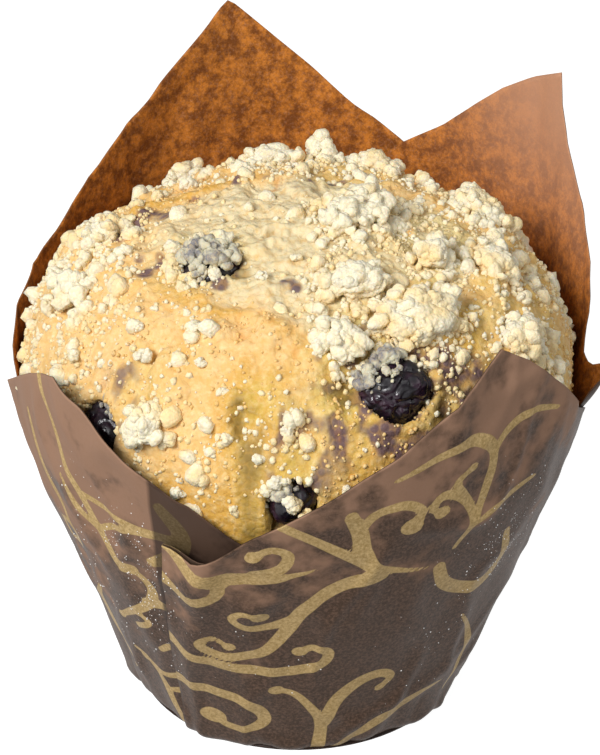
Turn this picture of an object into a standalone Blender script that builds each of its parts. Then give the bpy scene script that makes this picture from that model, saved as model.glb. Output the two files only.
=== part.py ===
"""A streusel muffin in its folded tulip paper case.

Metres, +Z up.  The origin is the middle of the flat paper base, on the surface it stands on.
Azimuths are in degrees from +X, turning towards +Y; the front of the muffin faces -Y.
The case is one square of paper pressed into a cone: four corners stand up as petals and the
spare paper between them lies in four pleats, each a flap of one petal over its neighbour.
"""
import math

import bmesh
import bpy
from mathutils import Vector, noise

MM = 0.001

# Paper case
BASE_RADIUS = 28.0 * MM
WALL_SLOPE = math.radians(18.0)
PAPER = 0.5 * MM
FLAP_PAPER = 0.7 * MM
BASE_PAPER = 0.6 * MM
LEAN_START = 42.0 * MM
LEAN_LENGTH = 30.0 * MM
SLIT = 0.35 * MM
FLAP_COLUMNS = 4
FLAP_RELAX = 3
FLAP_CURL = 1.6
COLUMN_STEP = 6.0
INTEGRATION_STEPS = 24
WALL_ROWS = 8

# Change of the wall's slope at each azimuth, in degrees, once the lean has come in fully.
LEAN = [(-10, -9), (26, -13), (60, -12), (103, -16), (150, -22), (190, -19), (212, -22), (232, -9),
        (255, -1), (268, -2), (311, -16), (335, -13), (350, -9)]

# Top edge of each petal: azimuth in degrees and slant height up the wall in millimetres.
PETALS = {
    "back_right": [(-46, 44), (-17, 53), (-12, 61), (-8, 64), (-4, 61), (0, 61.5), (4, 66), (9, 74),
                   (20, 82.5), (28, 92), (29.5, 100), (38, 97), (45, 93.5), (59, 84), (68, 79.5), (76, 74), (90, 68)],
    "back_left": [(46, 66), (58, 73), (68, 79.5), (79, 86), (104, 104.5), (124, 90), (141, 80.5), (154, 74),
                  (167, 69.5), (178, 66), (184, 63.5), (189, 58), (200, 54)],
    "front_left": [(168, 52), (186, 59), (197, 64), (207, 68.5), (220, 73), (228, 71), (238, 65),
                   (250, 59), (257, 54), (270, 47)],
    "front_right": [(226, 50), (241, 50), (250, 49.5), (259, 53.5), (282, 66), (291, 70.5), (309, 80.5),
                    (316, 77), (326, 70), (338, 61), (350, 56), (356, 53)],
}
TIPS = {"back_right": 29.5, "back_left": 104, "front_left": 220, "front_right": 309}

# Pleats: petal on top, petal below, azimuths of the free fold and of the root at the foot and at
# the rim, and how far the fold stands off the wall at the rim, in millimetres.
PLEATS = {
    "front": ("front_right", "front_left", (231, 243), (239, 262), 1.2),
    "right": ("front_right", "back_right", (-36, -9), (-46, -30), 2.4),
    "back": ("back_left", "back_right", (66, 60), (74, 80), 0.9),
    "left": ("front_left", "back_left", (180, 177), (189, 200), 1.0),
}

# Cake
CAKE_GAP = 0.5 * MM
CAKE_FOOT = BASE_PAPER + 0.35 * MM
CROWN_HEIGHT = 58.0 * MM
CROWN_RADIUS = 44.0 * MM
DOME_RISE = 28.0 * MM
CAKE_SEGMENTS = 60
SIDE_RINGS = 6
DOME_RINGS = 13
CRUST_LIP_RADIUS = 29.0 * MM
CRUST_LIP_RISE = 0.9 * MM

# Berries: azimuth, distance from the axis, radius, depth of the centre under the crust, drop
# straight down (mm), and how finely the berry is divided.
BERRIES = {
    "berry_front_right": (292, 38.2, 5.8, 2.4, 0.0, 3),
    "berry_top_left": (229, 21.0, 5.2, 3.4, 0.0, 3),
    "berry_left_edge": (226, 43.0, 4.6, 3.2, 2.0, 2),
    "berry_front_edge": (269, 43.8, 4.2, 3.0, 3.8, 2),
}
BERRY_GAP = 0.45 * MM
CRUMB_GAP = 0.35 * MM
CRUMB_ROUGHNESS = 0.5
BERRY_ROUGHNESS = 0.09

# Large streusel crumbs: azimuth, distance from the axis, half sizes along the ring, down the
# slope and outwards (mm), and how finely the lump is divided.
CRUMBS = {
    "crumb_top_front": (333, 10, 8.6, 5.0, 2.6, 3),
    "crumb_right_front": (304, 31.5, 8.2, 5.2, 3.4, 3),
    "crumb_middle_upper": (290, 24, 5.4, 3.6, 2.8, 2),
    "crumb_middle_lower": (281, 32.5, 3.4, 4.0, 2.8, 2),
    "crumb_right_high": (18, 30, 5.6, 4.6, 3.2, 3),
    "crumb_right_mid": (343, 30.5, 4.4, 4.0, 3.2, 2),
    "crumb_right_low": (328, 38.5, 5.2, 3.8, 3.0, 2),
    "crumb_right_small": (326, 24, 3.0, 2.8, 2.6, 2),
    "crumb_back_left": (101, 22, 5.2, 3.6, 2.8, 2),
    "crumb_back_middle": (80, 24, 3.2, 3.2, 3.6, 2),
    "crumb_back_right": (61, 25, 4.0, 3.4, 2.6, 2),
    "crumb_back_low": (124, 34, 4.6, 3.8, 3.0, 2),
    "crumb_back_edge": (80, 37, 4.2, 3.4, 2.8, 2),
    "crumb_left_high": (180, 30, 4.2, 3.6, 2.8, 2),
    "crumb_left_low": (196, 36, 4.6, 3.6, 2.6, 2),
    "crumb_edge_left": (239, 42.2, 3.4, 3.6, 3.0, 2),
}


def between(knots, azimuth):
    """Value at an azimuth on a line of straight stretches through the knots."""
    if azimuth <= knots[0][0]:
        return knots[0][1]
    for (a0, v0), (a1, v1) in zip(knots, knots[1:]):
        if azimuth <= a1:
            return v0 + (v1 - v0) * (azimuth - a0) / (a1 - a0)
    return knots[-1][1]


def wrapped(azimuth, low=-10.0):
    """The same azimuth, at or just above the low one."""
    return (azimuth - low) % 360.0 + low


def slope_at(azimuth, slant):
    """The wall's angle from the vertical, which the petals' lean changes above LEAN_START."""
    amount = min(1.0, max(0.0, (slant - LEAN_START) / LEAN_LENGTH))
    lean = between(LEAN, wrapped(azimuth))
    return WALL_SLOPE + math.radians(lean) * amount


def wall_point(azimuth, slant, offset=0.0):
    """A point up the inside of the wall, moved outwards by the offset."""
    stretch = slant / INTEGRATION_STEPS
    radius, height = BASE_RADIUS, 0.0
    for step in range(INTEGRATION_STEPS):
        angle = slope_at(azimuth, (step + 0.5) * stretch)
        radius += math.sin(angle) * stretch
        height += math.cos(angle) * stretch
    angle = slope_at(azimuth, slant)
    radius += math.cos(angle) * offset
    height -= math.sin(angle) * offset
    turn = math.radians(azimuth)
    return Vector((radius * math.cos(turn), radius * math.sin(turn), height))


def wall_radius(azimuth, height):
    """Inner radius of the wall at a height."""
    slant = height / math.cos(WALL_SLOPE)
    for _ in range(4):
        slant += height - wall_point(azimuth, slant).z
    point = wall_point(azimuth, slant)
    return math.hypot(point.x, point.y)


def petal_top(petal, azimuth):
    """Slant height of a petal's edge."""
    low = PETALS[petal][0][0]
    return between(PETALS[petal], wrapped(azimuth, low)) * MM


def spread(first, last, count):
    """Foot and rim azimuths of count columns after the first one, up to the last."""
    columns = []
    for index in range(1, count + 1):
        share = index / count
        columns.append(tuple(a + (b - a) * share for a, b in zip(first, last)))
    return columns


def body_columns(first, last, petal):
    """Columns of a petal between two pleats, one of them moved on to the petal's tip."""
    width = max(last[1] - first[1], last[0] - first[0])
    columns = spread(first, last, max(4, round(width / COLUMN_STEP)))
    tip = wrapped(TIPS[petal], first[1])
    nearest = min(range(len(columns) - 1), key=lambda index: abs(columns[index][1] - tip))
    columns[nearest] = (columns[nearest][0], tip)
    return [(column, petal_top(petal, column[1])) for column in columns]


def pleat_columns(name, first, last):
    """Columns of the wall under a flap, with their heights, from the first azimuth to the last."""
    over, under, fold, root, _ = PLEATS[name]
    columns = []
    for column in spread(first, last, FLAP_COLUMNS):
        share = abs(wrapped(column[1], -60) - wrapped(fold[1], -60)) / abs(root[1] - fold[1])
        blend = share ** 4
        height = petal_top(under, column[1]) * (1 - blend) + petal_top(over, root[1]) * blend
        columns.append((column, height))
    return columns


def wall_columns():
    """Every column round the wall, starting after the front pleat's free fold."""
    front, right, back, left = (PLEATS[name] for name in ("front", "right", "back", "left"))
    turned = {key: tuple(a + 360 for a in right[key]) for key in (2, 3)}
    back_fold, back_root = (tuple(a + 360 for a in back[key]) for key in (2, 3))
    left_fold, left_root = (tuple(a + 360 for a in left[key]) for key in (2, 3))
    front_fold = tuple(a + 360 for a in front[2])
    columns = []
    marks = {}
    columns += pleat_columns("front", front[2], front[3])
    marks["front"] = len(columns) - 1
    columns += body_columns(front[3], turned[3], "front_right")
    marks["right"] = len(columns) - 1
    columns += pleat_columns("right", turned[3], turned[2])
    columns += body_columns(turned[2], back_fold, "back_right")
    columns += pleat_columns("back", back_fold, back_root)
    marks["back"] = len(columns) - 1
    columns += body_columns(back_root, left_fold, "back_left")
    columns += pleat_columns("left", left_fold, left_root)
    marks["left"] = len(columns) - 1
    columns += body_columns(left_root, front_fold, "front_left")
    return columns, marks


def build_column(mesh, azimuths, top, offset, foot=0.0):
    """One column of vertices up the wall.  The lowest lies in the plane of the foot's height."""
    column = []
    for row in range(WALL_ROWS + 1):
        share = row / WALL_ROWS
        azimuth = azimuths[0] + (azimuths[1] - azimuths[0]) * share
        start = foot / math.cos(WALL_SLOPE)
        lift = offset(share) if callable(offset) else offset
        point = wall_point(azimuth, start + (top - start) * share, lift)
        if row == 0:
            radius = math.hypot(point.x, point.y)
            factor = 1 + (foot - point.z) * math.tan(WALL_SLOPE) / radius
            point = Vector((point.x * factor, point.y * factor, foot))
        column.append(mesh.verts.new(point))
    return column


def skin(mesh, left, right):
    """Faces between two columns."""
    for low in range(len(left) - 1):
        corners = [left[low], right[low], right[low + 1], left[low + 1]]
        unique = [corner for index, corner in enumerate(corners) if corner not in corners[:index]]
        mesh.faces.new(unique)


def opens_back(name):
    """Whether a pleat's free fold lies at a lower azimuth than its root."""
    return PLEATS[name][3][1] > PLEATS[name][2][1]


def flap(mesh, name, columns, outer, root_index):
    """The free part of a pleat: its underside from the root out to the fold, then its outside."""
    over, stand_off = PLEATS[name][0], PLEATS[name][4]
    reach = stand_off * MM - SLIT
    step = -1 if opens_back(name) else 1
    under_side = [outer[root_index]]
    out_side = []
    for distance in range(FLAP_COLUMNS + 1):
        azimuths, _ = columns[(root_index + step * distance) % len(columns)]
        share = distance / FLAP_COLUMNS
        top = petal_top(over, azimuths[1])

        def stand(rise, share=share):
            return PAPER + (SLIT + reach * share ** FLAP_CURL * rise) * min(1.0, share * FLAP_COLUMNS)

        if distance:
            under_side.append(build_column(mesh, azimuths, top, stand))
        out_side.append(build_column(mesh, azimuths, top, lambda rise, s=stand: s(rise) + FLAP_PAPER))
    return under_side, out_side


def make_wrap():
    """The paper case: one closed thin wall with a flat base and four open-edged pleats."""
    mesh = bmesh.new()
    columns, roots = wall_columns()
    count = len(columns)
    inner = [build_column(mesh, azimuths, top, 0.0, BASE_PAPER) for azimuths, top in columns]
    # How much of the doubled paper's step each column still carries on the petal's side of a root.
    carried = [0.0] * count
    for name, index in roots.items():
        body_step = 1 if opens_back(name) else -1
        for distance in range(1, FLAP_RELAX + 1):
            spot = (index + body_step * distance) % count
            carried[spot] = FLAP_PAPER * (1 - distance / (FLAP_RELAX + 1))
    outer = [build_column(mesh, azimuths, top, PAPER + carried[index])
             for index, (azimuths, top) in enumerate(columns)]
    # The outer skin's columns in order round the case, with each flap as a detour.
    around = []
    flaps = {}
    for name, index in roots.items():
        flaps[index] = (name, flap(mesh, name, columns, outer, index))
    for index in range(count):
        around.append(outer[index])
        if index not in flaps:
            continue
        name, (under_side, out_side) = flaps[index]
        if opens_back(name):
            around += under_side[1:] + out_side[::-1]
        else:
            around.pop()
            around += out_side + under_side[:0:-1] + [outer[index]]
    for left, right in zip(around, around[1:] + around[:1]):
        skin(mesh, left, right)
    for left, right in zip(inner, inner[1:] + inner[:1]):
        skin(mesh, right, left)
    close_rims(mesh, inner, outer, flaps, count)
    mesh.faces.new([column[0] for column in around][::-1])
    mesh.faces.new([column[0] for column in inner])
    return finish_mesh(mesh, "wrap")


def close_rims(mesh, inner, outer, flaps, count):
    """The cut paper edge along the top of the wall and of each flap."""
    for index in range(count):
        following = (index + 1) % count
        near, far = outer[index][-1], outer[following][-1]
        for root_index, (name, (_, out_side)) in flaps.items():
            if opens_back(name) and index == root_index:
                near = out_side[0][-1]
            if not opens_back(name) and following == root_index:
                far = out_side[0][-1]
        mesh.faces.new([inner[index][-1], near, far, inner[following][-1]])
    for root_index, (_, (under_side, out_side)) in flaps.items():
        mesh.faces.new([inner[root_index][-1], outer[root_index][-1], out_side[0][-1]])
        for place in range(FLAP_COLUMNS):
            corners = [under_side[place][-1], under_side[place + 1][-1],
                       out_side[place + 1][-1], out_side[place][-1]]
            mesh.faces.new(corners)


def finish_mesh(mesh, name):
    """Turn a bmesh into a named object with outward faces."""
    bmesh.ops.recalc_face_normals(mesh, faces=mesh.faces)
    bmesh.ops.triangulate(mesh, faces=mesh.faces, ngon_method='EAR_CLIP')
    data = bpy.data.meshes.new(name)
    mesh.to_mesh(data)
    mesh.free()
    data.shade_smooth()
    data.set_sharp_from_angle(angle=math.radians(50))
    thing = bpy.data.objects.new(name, data)
    bpy.context.scene.collection.objects.link(thing)
    return thing


def material(name, colour, roughness):
    """A plain principled finish."""
    finish = bpy.data.materials.new(name)
    finish.use_nodes = True
    shader = finish.node_tree.nodes["Principled BSDF"]
    shader.inputs["Base Color"].default_value = (*colour, 1.0)
    shader.inputs["Roughness"].default_value = roughness
    shader.inputs["Metallic"].default_value = 0.0
    return finish


def dome_relief(azimuth, radius):
    """Height of the crust's swells, and of the lip round the sunken top, over the plain dome."""
    turn = math.radians(azimuth)
    place = Vector((radius * math.cos(turn), radius * math.sin(turn), 0)) / (11 * MM)
    swell = noise.noise(place + Vector((3.1, 7.7, 0.4))) * 1.5 * MM
    bump = noise.noise(place * 2.6 + Vector((9.2, 1.3, 4.4))) * 0.6 * MM
    lip_shift = noise.noise(Vector((math.cos(turn), math.sin(turn), 2.0)) * 1.4) * 5 * MM
    distance = (radius - CRUST_LIP_RADIUS - lip_shift) / (4 * MM)
    lip = CRUST_LIP_RISE * math.exp(-distance * distance)
    edge = min(1.0, max(0.0, (CROWN_RADIUS - radius) / (4 * MM)))
    return (swell + bump + lip) * edge


def dome_point(azimuth, radius, lift=0.0):
    """A point on the crust at a distance from the axis, raised along the dome's normal."""
    share = min(0.999, radius / CROWN_RADIUS)
    fall = math.sqrt(1 - share * share)
    turn = math.radians(azimuth)
    outward = Vector((math.cos(turn), math.sin(turn), 0))
    point = outward * radius + Vector((0, 0, CROWN_HEIGHT + DOME_RISE * fall))
    normal = outward * (share / CROWN_RADIUS) + Vector((0, 0, fall / DOME_RISE))
    normal.normalize()
    return point + normal * (dome_relief(azimuth, radius) + lift), normal


def cake_ring(ring):
    """Radius and height of a ring of the cake before it is fitted inside the case."""
    if ring < SIDE_RINGS:
        height = CAKE_FOOT + (CROWN_HEIGHT - 4 * MM - CAKE_FOOT) * ring / (SIDE_RINGS - 1)
        radius = min(BASE_RADIUS + height * math.tan(WALL_SLOPE), CROWN_RADIUS)
        return radius, height
    angle = math.radians(90) * (ring - SIDE_RINGS) / DOME_RINGS
    return CROWN_RADIUS * math.cos(angle), None


def make_cake_mesh(lift):
    """The cake's skin: tapered sides that follow the case, and a swollen dome."""
    mesh = bmesh.new()
    rings = []
    for ring in range(SIDE_RINGS + DOME_RINGS):
        vertices = []
        for segment in range(CAKE_SEGMENTS):
            azimuth = 360.0 * segment / CAKE_SEGMENTS
            radius, height = cake_ring(ring)
            if height is None:
                point, _ = dome_point(azimuth, radius, lift)
            else:
                turn = math.radians(azimuth)
                point = Vector((radius * math.cos(turn), radius * math.sin(turn), height))
            vertices.append(mesh.verts.new(inside_case(point, CAKE_GAP - lift)))
        rings.append(vertices)
    for lower, upper in zip(rings, rings[1:]):
        for segment in range(CAKE_SEGMENTS):
            following = (segment + 1) % CAKE_SEGMENTS
            mesh.faces.new([lower[segment], lower[following], upper[following], upper[segment]])
    peak = mesh.verts.new(dome_point(0.0, 0.0, lift)[0])
    for segment in range(CAKE_SEGMENTS):
        mesh.faces.new([rings[-1][segment], rings[-1][(segment + 1) % CAKE_SEGMENTS], peak])
    mesh.faces.new(rings[0][::-1])
    return mesh


def inside_case(point, gap):
    """The point, drawn in where it would come nearer to the paper than the gap."""
    radius = math.hypot(point.x, point.y)
    if radius < BASE_RADIUS * 0.5:
        return point
    azimuth = math.degrees(math.atan2(point.y, point.x))
    limit = wall_radius(azimuth, point.z) - gap / math.cos(WALL_SLOPE)
    factor = min(1.0, limit / radius)
    return Vector((point.x * factor, point.y * factor, point.z))


def blob(name, centre, axes, halves, detail, roughness, seed, gap):
    """A lumpy ball with its own half sizes along three axes, kept inside the case."""
    mesh = bmesh.new()
    bmesh.ops.create_icosphere(mesh, subdivisions=detail, radius=1.0)
    for vertex in mesh.verts:
        direction = vertex.co.normalized()
        wobble = noise.noise(direction * 1.7 + Vector((seed * 3.3, seed * 1.9, seed * 0.7)))
        reach = 1.0 + roughness * wobble
        offset = Vector((0, 0, 0))
        for axis, half, part in zip(axes, halves, direction):
            offset += axis * (half * part * reach)
        vertex.co = inside_case(centre + offset, gap)
    return finish_mesh(mesh, name)


def tangent_frame(azimuth, normal):
    """Directions along the ring and down the slope at a place on the dome."""
    turn = math.radians(azimuth)
    along = Vector((-math.sin(turn), math.cos(turn), 0))
    return along, normal.cross(along).normalized()


def subtract(thing, cutter, name):
    """Cut one closed shape out of another."""
    cutter.hide_render = True
    cutter.display_type = 'WIRE'
    cut = thing.modifiers.new(name, 'BOOLEAN')
    cut.operation = 'DIFFERENCE'
    cut.solver = 'EXACT'
    cut.object = cutter


def make_berries(cake, finish):
    """Whole berries, each in a socket cut in the cake with a hair's gap."""
    for seed, (name, values) in enumerate(BERRIES.items()):
        azimuth, distance, radius, depth, drop, detail = values
        centre, normal = dome_point(azimuth, distance * MM, -depth * MM)
        centre.z -= drop * MM
        along, down = tangent_frame(azimuth, normal)
        halves = [radius * 1.06 * MM, radius * 0.97 * MM, radius * 0.9 * MM]
        axes = (along, down, normal)
        berry = blob(name, centre, axes, halves, detail, BERRY_ROUGHNESS, seed + 1, CAKE_GAP)
        berry.data.materials.append(finish)
        wide = [half + BERRY_GAP for half in halves]
        socket = blob("socket_" + name, centre, axes, wide, detail, BERRY_ROUGHNESS, seed + 1, 0.0)
        subtract(cake, socket, "socket")


def make_crumbs(clearance, finish):
    """The large streusel lumps, each seated on the crust."""
    for seed, (name, values) in enumerate(CRUMBS.items()):
        azimuth, distance, along_half, down_half, out_half, detail = values
        centre, normal = dome_point(azimuth, distance * MM, out_half * 0.45 * MM)
        along, down = tangent_frame(azimuth, normal)
        halves = [along_half * MM, down_half * MM, out_half * MM]
        axes = (along, down, normal)
        lump = blob(name, centre, axes, halves, detail, CRUMB_ROUGHNESS, seed + 11, CAKE_GAP)
        lump.data.materials.append(finish)
        subtract(lump, clearance, "seat")


def main():
    """Clear the scene and build the muffin."""
    for thing in list(bpy.data.objects):
        bpy.data.objects.remove(thing, do_unlink=True)
    wrap = make_wrap()
    wrap.data.materials.append(material("brown_paper", (0.045, 0.026, 0.02), 0.6))
    cake = finish_mesh(make_cake_mesh(0.0), "muffin")
    cake.data.materials.append(material("baked_cake", (0.72, 0.43, 0.14), 0.7))
    clearance = finish_mesh(make_cake_mesh(CRUMB_GAP), "cake_clearance")
    make_berries(cake, material("berry_skin", (0.02, 0.008, 0.025), 0.35))
    make_crumbs(clearance, material("streusel", (0.85, 0.76, 0.5), 0.85))


main()
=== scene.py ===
"""Finish of a streusel muffin in a folded tulip paper case, laid out as a Blender add-on."""

import math

import bmesh
import bpy
import numpy as np
from bpy.props import FloatProperty, FloatVectorProperty, IntProperty, PointerProperty
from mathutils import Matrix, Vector


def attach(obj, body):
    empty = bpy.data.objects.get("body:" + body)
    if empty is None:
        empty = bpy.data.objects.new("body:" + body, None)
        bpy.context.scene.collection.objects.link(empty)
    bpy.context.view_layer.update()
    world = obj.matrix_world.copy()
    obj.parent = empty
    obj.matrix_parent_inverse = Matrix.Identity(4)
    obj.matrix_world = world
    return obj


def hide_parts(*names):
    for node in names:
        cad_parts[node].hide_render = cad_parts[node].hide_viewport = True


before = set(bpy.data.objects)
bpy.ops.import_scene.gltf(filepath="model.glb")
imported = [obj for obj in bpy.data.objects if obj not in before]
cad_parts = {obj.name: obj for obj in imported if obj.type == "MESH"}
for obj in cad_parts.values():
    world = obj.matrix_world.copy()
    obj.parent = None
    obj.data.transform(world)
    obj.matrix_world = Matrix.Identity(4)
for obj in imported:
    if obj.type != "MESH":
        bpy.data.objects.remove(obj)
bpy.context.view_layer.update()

bl_info = {
    "name": "Streusel Muffin Finish",
    "version": (1, 0, 0),
    "blender": (4, 5, 0),
    "location": "3D View > Sidebar > Muffin",
    "description": "Paper case, baked cake, berries, streusel and sugar of a tulip muffin",
    "category": "Object",
}

MM = 0.001
BODY = "root"

# ---------------------------------------------------------------- the case's shape

BASE_RADIUS = 28.0
WALL_SLOPE = math.radians(18.0)
LEAN_START = 42.0
LEAN_LENGTH = 30.0
CONE_APEX = BASE_RADIUS / math.sin(WALL_SLOPE)

# Change of the wall's slope by azimuth, in degrees, above the height where the petals lean.
LEAN = [(-10, -9), (26, -13), (60, -12), (103, -16), (150, -22), (190, -19), (212, -22), (232, -9),
        (255, -1), (268, -2), (311, -16), (335, -13), (350, -9)]

# Top edge of each petal: azimuth in degrees, slant height up the wall in millimetres.
PETALS = {
    "back_right": [(-46, 44), (-17, 53), (-12, 61), (-8, 64), (-4, 61), (0, 61.5), (4, 66), (9, 74),
                   (20, 82.5), (28, 92), (29.5, 100), (38, 97), (45, 93.5), (59, 84), (68, 79.5), (76, 74),
                   (90, 68)],
    "back_left": [(46, 66), (58, 73), (68, 79.5), (79, 86), (104, 104.5), (124, 90), (141, 80.5), (154, 74),
                  (167, 69.5), (178, 66), (184, 63.5), (189, 58), (200, 54)],
    "front_left": [(168, 52), (186, 59), (197, 64), (207, 68.5), (220, 73), (228, 71), (238, 65),
                   (250, 59), (257, 54), (270, 47)],
    "front_right": [(226, 50), (241, 50), (250, 49.5), (259, 53.5), (282, 66), (291, 70.5), (309, 80.5),
                    (316, 77), (326, 70), (338, 61), (350, 56), (356, 53)],
}
PETAL_MIDDLE = {"back_right": 30.0, "back_left": 130.0, "front_left": 220.0, "front_right": 297.0}

# Pleats: petal on top, petal below, azimuths of the free fold and of the root at foot and rim,
# how far the fold stands off at the rim, and how far the flap bows out between the two (mm).
PLEATS = {
    "front": ("front_right", "front_left", (231, 243), (239, 262), 0.5, 2.4),
    "right": ("front_right", "back_right", (324, 351), (314, 330), 0.9, 0.3),
    "back": ("back_left", "back_right", (66, 60), (74, 80), 0.9, 0.4),
    "left": ("front_left", "back_left", (180, 177), (189, 200), 0.9, 0.5),
}
LAYER = 0.34

# Places where the rim curls out: petal, azimuth, half width, start height, height and reach (mm).
CURLS = [("back_right", -9, 4.5, 50, 13, 2.8), ("front_left", 184, 3.5, 54, 10, 0.2),
         ("front_left", 222, 9.0, 60, 12, 1.0), ("front_right", 309, 6.0, 66, 14, -0.6),
         ("back_left", 104, 6.0, 84, 20, 1.2), ("back_right", 52, 9.0, 70, 20, -1.2)]
PLEAT_COLUMNS = 12
RELAX_DEGREES = 14.0

# Printed scrolls on each petal: points across and up the petal from its middle line (mm), line
# width at the start, middle and end (mm), and the radius of the round end, if it has one.
SCROLLS = {
    "front_right": [
        ([(-45, 47), (-39, 44.5), (-34, 42), (-28, 43), (-23, 44), (-17, 46.5)], (2.0, 3.6, 0.4), 0),
        ([(-26, 44.5), (-22.5, 46.5), (-22, 49.5), (-24.5, 50.5), (-27, 48.6)], (2.6, 1.7, 1.2), 1.3),
        ([(-34, 42), (-31, 40), (-31.5, 37), (-35, 35.5), (-39, 36.5), (-43, 40)], (1.6, 2.3, 1.6), 0),
        ([(-24, 56), (-17, 52), (-11, 48), (-7, 45)], (1.6, 1.8, 2.4), 0),
        ([(-14, 58), (-12, 54), (-10.5, 49), (-7, 45.5), (1, 43.5)], (2.2, 3.0, 0.5), 0),
        ([(-7, 44.5), (-12, 43), (-15.5, 40), (-18, 36), (-19.5, 31), (-22, 25.5), (-26.5, 22.4),
          (-30, 22.3), (-32, 24.3), (-30.5, 26), (-27.6, 24.8)], (2.8, 2.2, 1.0), 1.1),
        ([(-18.8, 34), (-22, 31.6), (-25.5, 30.9), (-28, 32.4), (-26.8, 34.4), (-24, 34)],
         (2.0, 1.4, 1.0), 1.4),
        ([(-44, 26), (-37, 21), (-30, 19.6), (-23, 19.8), (-17.5, 20.6), (-13, 23), (-12.4, 26),
          (-15, 27), (-16.8, 25.8)], (2.0, 2.4, 1.2), 1.3),
        ([(-40, 8), (-33, 10.5), (-27, 11.2), (-22, 10), (-19.7, 6.6), (-21.6, 3.6), (-25, 2.6),
          (-27.8, 4)], (2.4, 2.3, 1.4), 2.2),
        ([(-10, -2), (-10.6, 7), (-13, 11.5), (-16, 14.6), (-19, 15.2)], (2.4, 1.6, 1.2), 1.3),
        ([(-10.4, 7), (-9, 13), (-6, 17.4), (-2.4, 18.6), (-0.4, 17), (-2, 14.8)], (2.6, 2.3, 1.1), 0.9),
        ([(-8, -1), (-3.6, 4), (1.6, 7.2), (6, 9.8), (11, 10)], (1.2, 2.6, 0.5), 0),
        ([(-12, 55), (-10, 58), (-6, 59), (-2.6, 56.8), (-4, 54.4)], (1.8, 1.7, 1.5), 1.9),
        ([(5, 46), (7, 50), (6.4, 54), (4, 57.6), (0.8, 58.8), (-0.8, 56.8), (1, 55.4)],
         (0.8, 2.0, 1.1), 1.4),
        ([(4.4, 57.5), (3, 60.4), (5.4, 62.6)], (1.8, 1.4, 0.9), 1.0),
        ([(7.4, 51), (9, 58), (9.6, 64), (5, 67.5), (-1, 66.5), (-8, 64)], (1.4, 2.3, 0.8), 0),
        ([(9.6, 63), (13, 66), (18, 67), (24, 64.5)], (1.6, 1.6, 0.8), 0),
        ([(7.2, 50.6), (13, 52.4), (20, 53.4)], (1.0, 1.4, 0.8), 0),
        ([(3, 42.6), (5, 38), (9.6, 34.5), (14, 34), (16.4, 38), (16, 44)], (2.2, 2.8, 1.4), 0),
        ([(11, 27), (14.5, 20), (15, 13), (12.6, 6)], (0.6, 1.6, 0.6), 0),
    ],
    "front_left": [
        ([(-8, 72), (-5, 65), (-2, 57.5), (0.6, 51), (2.4, 45), (4.4, 40), (8, 39.6)], (1.4, 1.8, 1.8), 0),
        ([(1, 52), (6, 51.5), (11, 50), (19, 49.4)], (1.2, 1.4, 1.2), 0),
        ([(2.6, 45.6), (7, 48), (12, 49), (19, 49)], (1.2, 1.4, 1.6), 0),
        ([(19, 56), (20.5, 50), (17, 45), (13, 43)], (2.4, 3.6, 1.8), 0),
        ([(-4, 53.5), (-1.6, 48), (3, 44.4)], (0.8, 1.6, 1.0), 0),
        ([(5, 38.4), (8.4, 38.4), (10, 35.2), (8, 31.5), (3.4, 28), (-1, 24.5)], (1.0, 2.2, 1.0), 0.9),
        ([(7.6, 31.6), (12, 32), (14.6, 28), (15.4, 22)], (2.0, 1.8, 1.2), 0),
        ([(6.6, 20.4), (9.4, 22), (11.2, 19.4), (9.6, 15.4), (5, 13.4), (0, 14.6)], (1.2, 1.7, 0.9), 1.0),
        ([(-2, 16), (3, 12.6), (4.4, 6), (5, -1)], (0.8, 1.6, 1.4), 0),
        ([(4, 9.6), (9, 10.4), (14, 10.8)], (0.8, 2.0, 2.2), 0),
        ([(3, 24.4), (6.4, 26.6), (4.6, 28.4)], (1.2, 1.2, 0.9), 1.1),
        ([(-14, 60), (-12, 50), (-8.4, 42), (-9.4, 34)], (1.0, 2.0, 0.8), 0),
        ([(-9.6, 40), (-13, 38), (-12.6, 34.6), (-10, 34.8)], (1.4, 1.2, 0.9), 1.0),
        ([(-8, 26), (-11.6, 20), (-9.6, 13), (-4, 10)], (0.8, 2.0, 0.8), 0),
    ],
    "back_right": [
        ([(-14, 4), (-12, 14), (-14.6, 24), (-10, 33), (-3, 36), (1.4, 32), (-2, 29)], (2.0, 2.4, 1.1), 1.5),
        ([(-13.6, 21), (-18, 27), (-17.6, 34), (-14.4, 34)], (1.6, 1.6, 1.0), 1.2),
        ([(2, 0), (4.4, 9), (10, 15), (16, 15), (16.6, 10), (12.6, 9)], (2.2, 2.0, 1.1), 1.6),
        ([(4.4, 9), (2.4, 16), (5, 22), (10, 23)], (1.8, 1.6, 0.9), 1.2),
        ([(-8, 34), (-4, 44), (3, 50), (10, 49), (12.6, 43), (8, 41)], (1.6, 2.4, 1.2), 1.7),
        ([(2.6, 50), (4, 59), (0, 66), (-6, 66.4)], (1.6, 1.8, 0.9), 1.3),
        ([(11, 48.6), (17, 56), (16.4, 66), (10, 71), (6.4, 67.4)], (1.4, 2.2, 1.0), 1.4),
    ],
}
SCROLLS["back_left"] = [([(-1.25 * across + 2, up + 1) for across, up in points], widths, end)
                        for points, widths, end in SCROLLS["back_right"]]

# ---------------------------------------------------------------- the cake's shape

CROWN_HEIGHT = 58.0
CROWN_RADIUS = 44.0
DOME_RISE = 28.0
CAKE_FOOT = 1.0
CAKE_GAP = 0.8
CAKE_SEGMENTS = 400
SIDE_RINGS = 14
DOME_RINGS = 200

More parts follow.
